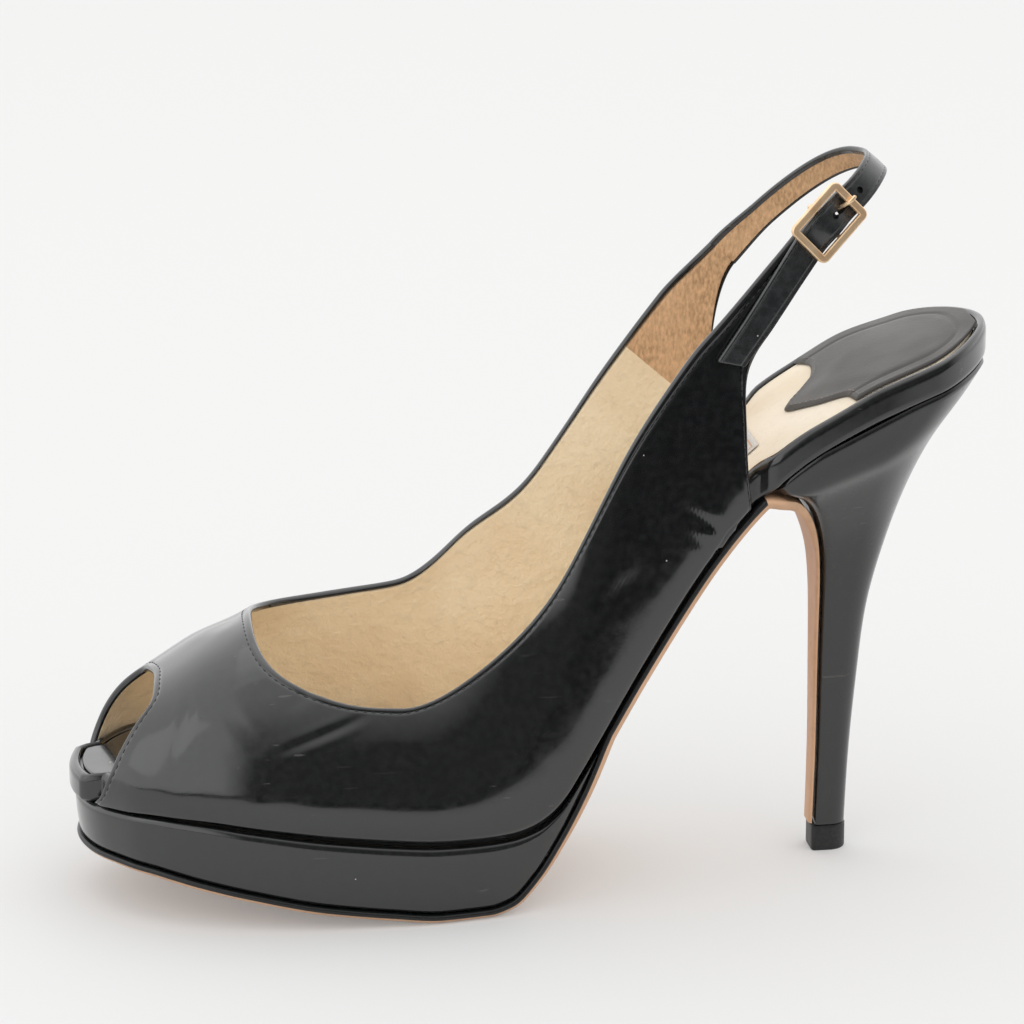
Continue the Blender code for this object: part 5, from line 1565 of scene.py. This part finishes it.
def make_buckle(sizes):
    corner, wide = sizes.buckle_corner, sizes.buckle_rail
    rail, post = RAIL - 0.5 * (wide - BUCKLE_WIRE), POST - 0.5 * (wide - BUCKLE_WIRE)
    loop = []
    for number, (along, across) in enumerate(((rail, post), (-rail, post), (-rail, -post), (rail, -post))):
        along, across = along - math.copysign(corner, along), across - math.copysign(corner, across)
        for turn in np.radians(np.linspace(90.0 * number, 90.0 * number + 90.0, 9)):
            place = along + corner * math.cos(turn), across + corner * math.sin(turn)
            loop.append((*place, FRAME_LIFT))
    path = []
    for first, second in zip(loop, loop[1:] + loop[:1]):
        first, second = np.array(first), np.array(second)
        count = max(1, int(np.linalg.norm(second - first) / 0.0008))
        path += [first + (second - first) * k / count for k in range(count)]
    profile = bar_profile(wide, BUCKLE_WIRE, 4.5, 48)
    away = np.hypot(np.abs(profile[:, 0]) - 0.5 * wide, profile[:, 1] + 0.10 * BUCKLE_WIRE)
    profile[:, 0] *= 1.0 - 0.14 * np.exp(-((away / 0.00013) ** 2))
    rings = swept(path, profile, True)
    vertices, faces = loft(rings, caps=(False, False))
    count, size = rings.shape[:2]
    for k in range(size):
        a, b = (count - 1) * size + k, (count - 1) * size + (k + 1) % size
        faces.append((a, b, (k + 1) % size, k))
    put("buckle", (vertices, faces), [finish("metal")], ("buckle_frame",))
    depth = FRAME_LIFT - EYE_CENTRE
    corners = [
        (0.0, -POST, FRAME_LIFT),
        (0.0, -POST, EYE_CENTRE + 0.3 * depth),
        (0.0, -POST + 0.0003, EYE_CENTRE + 0.05 * depth),
        (0.0, -POST + 0.0012, EYE_CENTRE),
    ]
    corners += [(0.0, -across, lift) for _, across, lift in corners[::-1]]
    wire = bar_profile(BUCKLE_BAR, BUCKLE_BAR, 2.0, 20)
    bar = swept(rounded(corners, 60), wire, False, (1.0, 0.0, 0.0))
    put("buckle_bar", loft(bar), [finish("metal")])
    tip_lift = FRAME_LIFT + 0.5 * BUCKLE_WIRE + 0.5 * PRONG_WIRE + GAP
    path = []
    for turn in np.radians(np.linspace(60.0, 320.0, 24)):
        path.append((PRONG_LOOP * math.cos(turn), 0.0, EYE_CENTRE + PRONG_LOOP * math.sin(turn)))
    path += [
        (0.0023, 0.0, EYE_CENTRE - 0.0003),
        (0.0034, 0.0, EYE_CENTRE + 0.0004),
        (PRONG_HOLE_AT, 0.0, 0.0016),
        (RAIL - 0.0018, 0.0, 0.0032),
        (RAIL - 0.0004, 0.0, tip_lift - 0.0001),
        (RAIL + 0.0004, 0.0, tip_lift),
        (RAIL + 0.0010, 0.0, tip_lift - 0.0001),
    ]

    def pin(share):
        blade = blend(share, 0.80, 0.94)
        end = 1.0 - 0.35 * blend(share, 0.985, 1.0)
        wide, high = PRONG_WIRE * (1.0 + 0.55 * blade) * end, PRONG_WIRE * (1.0 - 0.05 * blade) * end
        return bar_profile(wide, high, 2.0 + 1.6 * blade, 20)

    rings = swept(rounded(path, 90), pin, False, (0.0, 1.0, 0.0))
    put("pin", loft(rings), [finish("metal")], ("buckle_prong",))
    make_fold()


def make_fold():
    """The quarter strap's end, folded round the buckle's bar on each side of the pin."""
    half, slot = 0.5 * STRAP_WIDTH, 0.5 * PRONG_WIRE + GAP
    inner, outer, bevel = 0.5 * BUCKLE_BAR + GAP, EYE_OUTER, 0.0002
    vertices, faces = [], []
    for start, end in ((-half, -slot), (slot, half)):
        section = [(inner, start), (outer - bevel, start), (outer, start + bevel)]
        section += [(outer, end - bevel), (outer - bevel, end), (inner, end)]
        rings = []
        for turn in np.linspace(0.0, 2.0 * math.pi, 40, endpoint=False):
            ring = []
            for radius, across in section:
                lift = EYE_CENTRE + radius * math.sin(turn)
                ring.append(buckle_point(radius * math.cos(turn), across, lift))
            rings.append(ring)
        rings.append(rings[0])
        made, sides = loft(np.array(rings), caps=(False, False))
        faces += [tuple(len(vertices) + v for v in face) for face in sides]
        vertices += made.tolist()
    put("strap_fold", (vertices, faces), [finish("glaze")])


class PUMP_OT_sling(Operator):
    """Make the sling strap with its suede face, holes and stitches"""

    bl_idname = "pump.sling"
    bl_label = "Sling strap"

    def execute(self, context):
        make_sling(context.scene.pump_sizes)
        return {"FINISHED"}


class PUMP_OT_buckle(Operator):
    """Make the buckle, its pin and the fold of leather that holds it"""

    bl_idname = "pump.buckle"
    bl_label = "Buckle"

    def execute(self, context):
        make_buckle(context.scene.pump_sizes)
        return {"FINISHED"}


# Insole, sock, pad and label


# The glazed cover shows this far back from the toe tip, in front of the pale sock.
TOE_COVER = 0.0215


def fine_stations():
    upper_start = OUTER_STRIP["low_along"].min() - 0.0015
    return np.sort(np.append(stations(0.0, 1.0, 150, toe=22, back=22), upper_start))


def under_upper(along, profile, margin=0.0):
    """A sheet's edge profile of (inset, level), moved in to make room for the upper."""
    room = [covered(along, side) + margin for side in (OUTER, INNER)]
    return [((room[0] + inset, room[1] + inset), level) for inset, level in profile]


def make_insole_cover():
    along = fine_stations()
    corners = [(0.0007, 0.0), (0.0001, 0.10), (0.0, 0.20), (0.0, 0.72), (0.0003, 0.88)]
    corners += [(0.0009, 0.985), (0.0014, 1.0), (0.0022, 0.97), (0.0028, 1.0 - RECESS / INSOLE)]
    sides = under_upper(along, rounded(corners, 26))
    rings = [world(ring) for ring in sheet_rings(along, sides, feather_height, insole_top, 14)]
    put("insole_cover", loft(rings, caps=(False, False)), [finish("cover")], ("insole",))


def make_sock():
    along = fine_stations()
    corners = ((0.0, 0.0), (0.0, 0.6), (0.0001, 0.85), (0.0004, 1.0))
    sides = under_upper(along, corners, SOCK_MARGIN)

    def low(at):
        return insole_floor(at) + upright_gap(at)

    def high(at):
        return low(at) + upright_gap(at, SOCK)

    def at_toe(centres):
        return part(centres)[:, 0] < TOE_COVER

    skin = loft([world(ring) for ring in sheet_rings(along, sides, low, high, 26)], caps=(False, False))
    put("sock", skin, [finish("sock"), finish("cover")], ("sock_lining",), rule=at_toe)


def pad_grid(sides, rows, margin):
    front = column(PAD_FRONT, "along", "side")(sides)
    end = 1.0 - margin / LENGTH
    turn = np.sin(np.linspace(0.0, 0.5 * math.pi, rows))
    along = front[None, :] + (end - front[None, :]) * turn[:, None]
    spread_to = np.clip(along + 0.5 * margin / LENGTH, 0.0, 1.0)
    half = np.maximum(half_width(spread_to, OUTER) - margin, 0.0)
    half[-1] = 0.0
    return along, half, half * sides[None, :]


def resting(along, across, thick):
    """Skin of a sheet that lies on the sock."""
    low = sock_top(along) + upright_gap(along)
    heights = low + upright_gap(along, thick), low
    return shell(*(world(np.stack([along * LENGTH, across, height], axis=-1)) for height in heights))


def make_pad(sizes):
    rim_sides = np.linspace(0.9, 1.0, 8)
    sides = np.concatenate([np.linspace(-1.0, -0.9, 8), np.linspace(-0.9, 0.9, 90)[1:-1], rim_sides])
    margin = sizes.pad_margin
    along, half, across = pad_grid(sides, 90, margin)
    front = along[0][None, :]
    sideways = np.maximum(half - np.abs(across), 1e-6)
    backwards = np.maximum((1.0 - margin / LENGTH - along) * LENGTH, 1e-6)
    rim = (sideways**-2.5 + backwards**-2.5) ** -0.4
    front_edge = (along - front) * LENGTH
    edge = np.minimum(rim, front_edge)
    press = PAD_PRESS * np.exp(-(((rim - sizes.pad_border) / PAD_PRESS_WIDTH) ** 2))
    raised = PAD_SWELL * blend(rim, sizes.pad_border - 0.0004, sizes.pad_border + 0.0025)
    raised = raised * blend(front_edge, 0.002, 0.010)
    thick = PAD * (0.35 + 0.65 * np.sqrt(np.clip(edge / 0.0004, 0.0, 1.0))) + raised - press
    pad = put("seat_pad", resting(along, across, thick), [finish("pad")], ("heel_pad",))
    run_sides = np.linspace(-0.985, 0.985, 160)
    line_along = column(PAD_FRONT, "along", "side")(run_sides) + 0.0010 / LENGTH
    spread_to = np.clip(line_along + 0.5 * margin / LENGTH, 0.0, 1.0)
    half_here = np.maximum(half_width(spread_to, OUTER) - margin, 0.0)
    height = sock_top(line_along) + upright_gap(line_along, GAP + PAD)
    line = np.stack([line_along * LENGTH, half_here * run_sides, height], axis=1)
    up = np.tile(unit(np.array([-0.6, 0.0, 0.8])), (len(line), 1))
    stitches("pad_stitches", [(world(line), up)], *PAD_SEWN, finish("pad_thread"))


def make_label():
    rim = np.array([0.0, 0.0002, 0.0006, 0.0010, 0.0013, 0.0017])
    half = 0.5 * LABEL_WIDTH
    middle = np.linspace(LABEL_START, LABEL_END, 44)[4:-4]
    ends = np.concatenate([LABEL_START + rim / LENGTH, middle, LABEL_END - rim[::-1] / LENGTH])
    sides = np.concatenate([rim - half, half * np.linspace(-0.78, 0.78, 20), half - rim[::-1]])
    along, side = np.meshgrid(ends, sides, indexing="ij")
    edge = np.minimum((along - LABEL_START) * LENGTH, (LABEL_END - along) * LENGTH)
    edge = np.minimum(edge, half - np.abs(side))
    line = 0.25 * np.exp(-(((edge - LABEL_LINE) / LABEL_LINE_WIDTH) ** 2))
    woven = LABEL * (0.4 + 0.6 * blend(edge, 0.0, 0.0005) - line)

    def framed(centres):
        place = part(centres)
        inwards = np.minimum(place[:, 0] - LABEL_START * LENGTH, LABEL_END * LENGTH - place[:, 0])
        inwards = np.minimum(inwards, half - np.abs(place[:, 1]))
        return (inwards > LABEL_LINE) & (inwards < LABEL_LINE + LABEL_LINE_WIDTH)

    covers = [finish("label"), finish("label_line")]
    put("bare_label", resting(along, side, woven), covers, ("label",), rule=framed)


class PUMP_OT_inside(Operator):
    """Make the insole cover, the sock, the seat pad and the bare label"""

    bl_idname = "pump.inside"
    bl_label = "Insole and sock"

    def execute(self, context):
        make_insole_cover()
        make_sock()
        make_pad(context.scene.pump_sizes)
        make_label()
        return {"FINISHED"}


# Platform and outsole


def make_platform_cover():
    along = stations(0.0, 0.553, 130, toe=24)
    corners = [(0.0018, 0.0), (0.0013, 0.03), (0.0011, 0.08), (0.0007, 0.35), (0.0004, 0.66)]
    corners += [(0.0003, 0.84), (0.0006, 0.93), (0.0016, 0.99), (0.0022, 1.0)]

    def low(at):
        return outsole_height(at) + upright_gap(at)

    def top(at):
        return np.maximum(feather_height(at) - upright_gap(at), outsole_height(at) + 2.2 * upright_gap(at))

    rings = [world(ring) for ring in sheet_rings(along, rounded(corners, 30), low, top, 10)]
    put("platform_cover", loft(rings, caps=(False, True)), [finish("cover")], ("platform",))


# The sole's edge from its top down: inset, share of the edge's depth, share of the crown.
SOLE_SIDES = (
    (0.0009, 0.0, 0.0),
    (0.0006, 0.10, 0.0),
    (0.0005, 0.30, 0.0),
    (0.0006, 0.52, 0.0),
    (0.0007, 0.60, 0.0),
    (0.0012, 0.88, 0.05),
    (0.0018, 1.0, 0.35),
    (0.0027, 1.0, 0.75),
    (0.0044, 1.0, 1.0),
)


def make_sole():
    along, base, flap = sole_path(96, 24, 30, 60, 24)
    path = np.vstack([base, flap])
    tangent = unit(np.gradient(path, axis=0))
    normal = np.stack([tangent[:, 1], -tangent[:, 0]], axis=1)
    crown = TREAD_CROWN + (OUTSOLE_CROWN - TREAD_CROWN) * blend(path[:, 0] / LENGTH, 0.44, WAIST_START)
    edge = np.full(len(path), OUTSOLE_EDGE)
    thinning = blend(np.arange(len(flap)) / len(flap), 0.0, 0.7)
    crown[len(base) :] = OUTSOLE_CROWN + (0.3 * FLAP - OUTSOLE_CROWN) * thinning
    edge[len(base) :] = OUTSOLE_EDGE + (0.7 * FLAP - OUTSOLE_EDGE) * thinning
    heel_half = smooth_curve(heel_line("front")[:, 1], HEEL_SECTIONS["width"] * 0.5 * SEAT_WIDTH)
    edges = [plan_edges(along, inset) for inset, _, _ in SOLE_SIDES]
    across = 15
    rings = []
    for i, point in enumerate(path):
        lines = []
        for step, (inset, level, crowned) in enumerate(SOLE_SIDES):
            depth = level * edge[i] + crowned * crown[i]
            if i < len(base):
                left, right = edges[step][0][i], edges[step][1][i]
            else:
                span = float(heel_half(point[1])) * 0.90 - inset * 0.30
                narrowed = blend((i - len(base)) / len(flap), 0.0, 0.22)
                left_end, right_end = -edges[step][0][-1][1], edges[step][1][-1][1]
                left = np.array([point[0], -left_end - (min(span, left_end) - left_end) * narrowed])
                right = np.array([point[0], right_end + (min(span, right_end) - right_end) * narrowed])
            lines.append((left, right, depth))
        loop = [(left, depth) for left, right, depth in lines[1:-1]]
        left, right, depth = lines[-1]
        loop += [(left + (right - left) * share, depth) for share in np.linspace(0, 1, across)]
        loop += [(place, level) for _, place, level in lines[-2:0:-1]]
        left, right, depth = lines[0]
        loop += [(left + (right - left) * share, depth) for share in np.linspace(1, 0, across)]
        points = []
        for place, depth in loop:
            height = float(outsole_height(np.clip(place[0] / LENGTH, 0.0, 1.0)))
            surface = np.array([place[0], height]) if i < len(base) else point
            side = surface + normal[i] * depth
            points.append((side[0], place[1], side[1]))
        rings.append(world(points))
    sole = put("sole", loft(rings, caps=(False, True)), [finish("edge"), finish("sole")], ("outsole",))
    ring, step = np.divmod(np.arange(len(sole.data.polygons)), len(rings[0]))
    below = (step >= 3) & (step < 3 + across + 7)
    assign(sole.data, (below | (ring >= len(base))) & (ring < len(rings) - 1))


class PUMP_OT_bottom(Operator):
    """Make the covered platform and the leather sole with its flap"""

    bl_idname = "pump.bottom"
    bl_label = "Platform and sole"

    def execute(self, context):
        make_platform_cover()
        make_sole()
        return {"FINISHED"}


# Heel


def seat_ring(count, shrink, drop):
    """The heel's top, just inside the seat's outline."""
    start, widest, back, centre = 0.748, 0.90, 0.9965, 0.885
    points = []
    for lengthwise, side in d_shape(count, 0.16, 0.32, 0.9):
        reach = widest - start if lengthwise < 0.0 else back - widest
        share = widest + reach * lengthwise
        limit = float(half_width(share, OUTER)) - 0.0006
        across = math.copysign(min(abs(side) * SEAT_WIDTH * 0.5, limit), side) if abs(side) > 1e-9 else 0.0
        share = centre + (share - centre) * shrink
        height = float(feather_height(share) - upright_gap(share)) - drop
        points.append((share * LENGTH, across * shrink, height))
    return np.array(points)


def make_heel_cover():
    count = 96
    rings = []
    for front, back, width in zip(heel_line("front"), heel_line("back"), HEEL_SECTIONS["width"]):
        rings.append(np.array(heel_ring(front, back, width * 0.5 * SEAT_WIDTH, count)))
    rings[0][:, 2] = TIP_HEIGHT + GAP
    rings.append(0.5 * (rings[-1] + seat_ring(count, 1.0, 0.0)) + np.array([0.0, 0.0, -0.0008]))
    rings.append(seat_ring(count, 1.0, 0.0009))
    keys = np.array(rings)
    steps = travelled(keys[:, 0])
    wanted = np.linspace(0.0, steps[-1], 110)
    fine = natural_spline(steps, keys.reshape(len(keys), -1), wanted).reshape(len(wanted), count, 3)
    foot = fine[0] + (fine[0].mean(axis=0) - fine[0]) * 0.05
    tops = [seat_ring(count, *top) for top in ((0.995, 0.0004), (0.985, 0.0), (0.6, 0.0), (0.2, 0.0))]
    rings = [foot, *fine, *tops]
    put("heel_cover", loft([world(ring) for ring in rings]), [finish("heel")], ("heel",))


def make_top_lift():
    front = HEEL_SECTIONS["front_along"][0] * LENGTH - FLAP
    back = HEEL_SECTIONS["back_along"][0] * LENGTH + TIP_PROUD
    rings = []
    levels = [(0.0, 0.94), (0.00015, 0.975), (0.0005, 1.0), (0.5 * TIP_HEIGHT, 1.0)]
    levels += [(TIP_HEIGHT - 0.0003, 1.0), (TIP_HEIGHT - 0.0001, 0.985), (TIP_HEIGHT, 0.96)]
    for height, shrink in levels:
        near, far = np.array([front, height]), np.array([back, height])
        centre = 0.5 * (near + far)
        near, far = centre + (near - centre) * shrink, centre + (far - centre) * shrink
        rings.append(world(heel_ring(near, far, 0.5 * TIP_WIDTH * shrink, 72)))
    put("top_lift", loft(rings), [finish("rubber")], ("heel_tip",))


class PUMP_OT_heel(Operator):
    """Make the covered heel and its top lift"""

    bl_idname = "pump.heel"
    bl_label = "Heel"

    def execute(self, context):
        make_heel_cover()
        make_top_lift()
        return {"FINISHED"}


# Stage


def make_floor(stage):
    mesh = bpy.data.meshes.new("floor")
    reach = 4.0
    signs = ((-1, -1), (1, -1), (1, 1), (-1, 1))
    mesh.from_pydata([(reach * x, reach * y, 0.0) for x, y in signs], [], [(0, 1, 2, 3)])
    floor = bpy.data.objects.new("floor", mesh)
    bpy.context.scene.collection.objects.link(floor)
    made, tree, shader, place = blank("pale_floor")
    depth = node(tree, "ShaderNodeSeparateXYZ", {"Vector": place}).outputs["Y"]
    front = spread(tree, depth, -stage.table_front - 0.03, -stage.table_front)
    rays = node(tree, "ShaderNodeLightPath").outputs
    unlit = maths(tree, "MULTIPLY", rays["Is Glossy Ray"], maths(tree, "SUBTRACT", 1.0, front))
    lit = maths(tree, "SUBTRACT", 1.0, unlit)
    glow = maths(tree, "MULTIPLY", lit, maths(tree, "SUBTRACT", 1.0, rays["Is Diffuse Ray"]))
    set_up(
        tree,
        shader,
        Base_Color=mix(tree, lit, (0.015, 0.016, 0.018), stage.floor),
        Emission_Color=mix(tree, glow, (0.0, 0.0, 0.0), (1.0, 1.0, 0.995)),
        Emission_Strength=stage.floor_glow,
        Roughness=0.8,
        Specular_IOR_Level=0.1,
    )
    mesh.materials.append(made)


def make_world(stage):
    """A studio that is bright overhead and behind the shoe and dark behind the camera."""
    world_now = bpy.data.worlds.new("studio")
    world_now.use_nodes = True
    tree = world_now.node_tree
    background = tree.nodes["Background"]
    background.inputs["Color"].default_value = (1.0, 1.0, 1.0, 1.0)
    aim = node(tree, "ShaderNodeTexCoord").outputs["Generated"]
    parts = node(tree, "ShaderNodeSeparateXYZ", {"Vector": aim}).outputs
    behind = spread(tree, parts["Y"], -0.55, 0.25)
    above = spread(tree, parts["Z"], 0.45, 0.90)
    left = spread(tree, parts["X"], -0.30, -0.48)
    around = maths(tree, "MAXIMUM", behind, left)
    bright = maths(tree, "MAXIMUM", around, maths(tree, "MULTIPLY", above, 0.8))
    level = spread(tree, bright, 0.0, 1.0, 0.12, stage.sky)
    rays = node(tree, "ShaderNodeLightPath").outputs
    dim = maths(tree, "MAXIMUM", rays["Is Camera Ray"], rays["Is Diffuse Ray"])
    seen = maths(tree, "MULTIPLY", rays["Is Camera Ray"], 0.86)
    soft = maths(tree, "MULTIPLY", rays["Is Diffuse Ray"], stage.ambient)
    mirrored = maths(tree, "MULTIPLY", level, maths(tree, "SUBTRACT", 1.0, dim))
    strength = maths(tree, "ADD", maths(tree, "ADD", seen, soft), mirrored)
    tree.links.new(strength, background.inputs["Strength"])
    world_now.cycles.sampling_method = "NONE"
    bpy.context.scene.world = world_now


def add_light(name, place, aim, size, power):
    light = bpy.data.lights.new(name, "AREA")
    light.shape = "RECTANGLE"
    light.size, light.size_y = size
    light.energy = power
    lamp = bpy.data.objects.new(name, light)
    lamp.location = place
    lamp.rotation_euler = (Vector(aim) - Vector(place)).to_track_quat("-Z", "Y").to_euler()
    bpy.context.scene.collection.objects.link(lamp)


def make_camera(stage):
    turn, tilt = math.radians(stage.turn), math.radians(stage.tilt)
    back = Vector((-math.sin(turn) * math.cos(tilt), -math.cos(turn) * math.cos(tilt), math.sin(tilt)))
    right = Vector((math.cos(turn), -math.sin(turn), 0.0))
    up = back.cross(right)
    target = Vector(world(LOOKED_AT))
    data = bpy.data.cameras.new("camera")
    data.sensor_width = 36.0
    data.lens = stage.lens
    camera = bpy.data.objects.new("camera", data)
    turned = Matrix((right, up, back)).transposed().to_4x4()
    camera.matrix_world = Matrix.Translation(target + back * stage.distance) @ turned
    bpy.context.scene.collection.objects.link(camera)
    bpy.context.scene.camera = camera


class PUMP_OT_stage(Operator):
    """Make the floor, the studio light and the camera"""

    bl_idname = "pump.stage"
    bl_label = "Stage"

    def execute(self, context):
        stage = context.scene.pump_stage
        context.scene.view_settings.view_transform = "Standard"
        make_floor(stage)
        make_world(stage)
        add_light("top_light", (0.05, 0.25, 1.15), (0.0, 0.0, 0.05), (1.3, 0.9), stage.top_power)
        add_light("side_light", (-0.95, -0.25, 0.65), (0.0, 0.0, 0.06), (0.5, 0.7), stage.side_power)
        make_camera(stage)
        return {"FINISHED"}


class PUMP_PT_panel(Panel):
    """Sizes, colours and steps of the pump"""

    bl_label = "Peep toe pump"
    bl_idname = "PUMP_PT_panel"
    bl_space_type = "VIEW_3D"
    bl_region_type = "UI"
    bl_category = "Pump"

    def draw(self, context):
        layout = self.layout
        for made in OPERATORS:
            layout.operator(made.bl_idname)
        for label, settings in (
            ("Sizes", context.scene.pump_sizes),
            ("Colours", context.scene.pump_colours),
            ("Stage", context.scene.pump_stage),
        ):
            box = layout.box()
            box.label(text=label)
            for key in settings.__annotations__:
                box.prop(settings, key)


OPERATORS = (
    PUMP_OT_upper,
    PUMP_OT_sling,
    PUMP_OT_buckle,
    PUMP_OT_inside,
    PUMP_OT_bottom,
    PUMP_OT_heel,
    PUMP_OT_stage,
)
CLASSES = (PumpSizes, PumpColours, PumpStage, *OPERATORS, PUMP_PT_panel)


def register():
    for made in CLASSES:
        bpy.utils.register_class(made)
    bpy.types.Scene.pump_sizes = PointerProperty(type=PumpSizes)
    bpy.types.Scene.pump_colours = PointerProperty(type=PumpColours)
    bpy.types.Scene.pump_stage = PointerProperty(type=PumpStage)


def unregister():
    del bpy.types.Scene.pump_sizes
    del bpy.types.Scene.pump_colours
    del bpy.types.Scene.pump_stage
    for made in reversed(CLASSES):
        bpy.utils.unregister_class(made)


def main():
    register()
    bpy.ops.pump.upper()
    bpy.ops.pump.sling()
    bpy.ops.pump.buckle()
    bpy.ops.pump.inside()
    bpy.ops.pump.bottom()
    bpy.ops.pump.heel()
    bpy.ops.pump.stage()


if __name__ == "__main__":
    main()
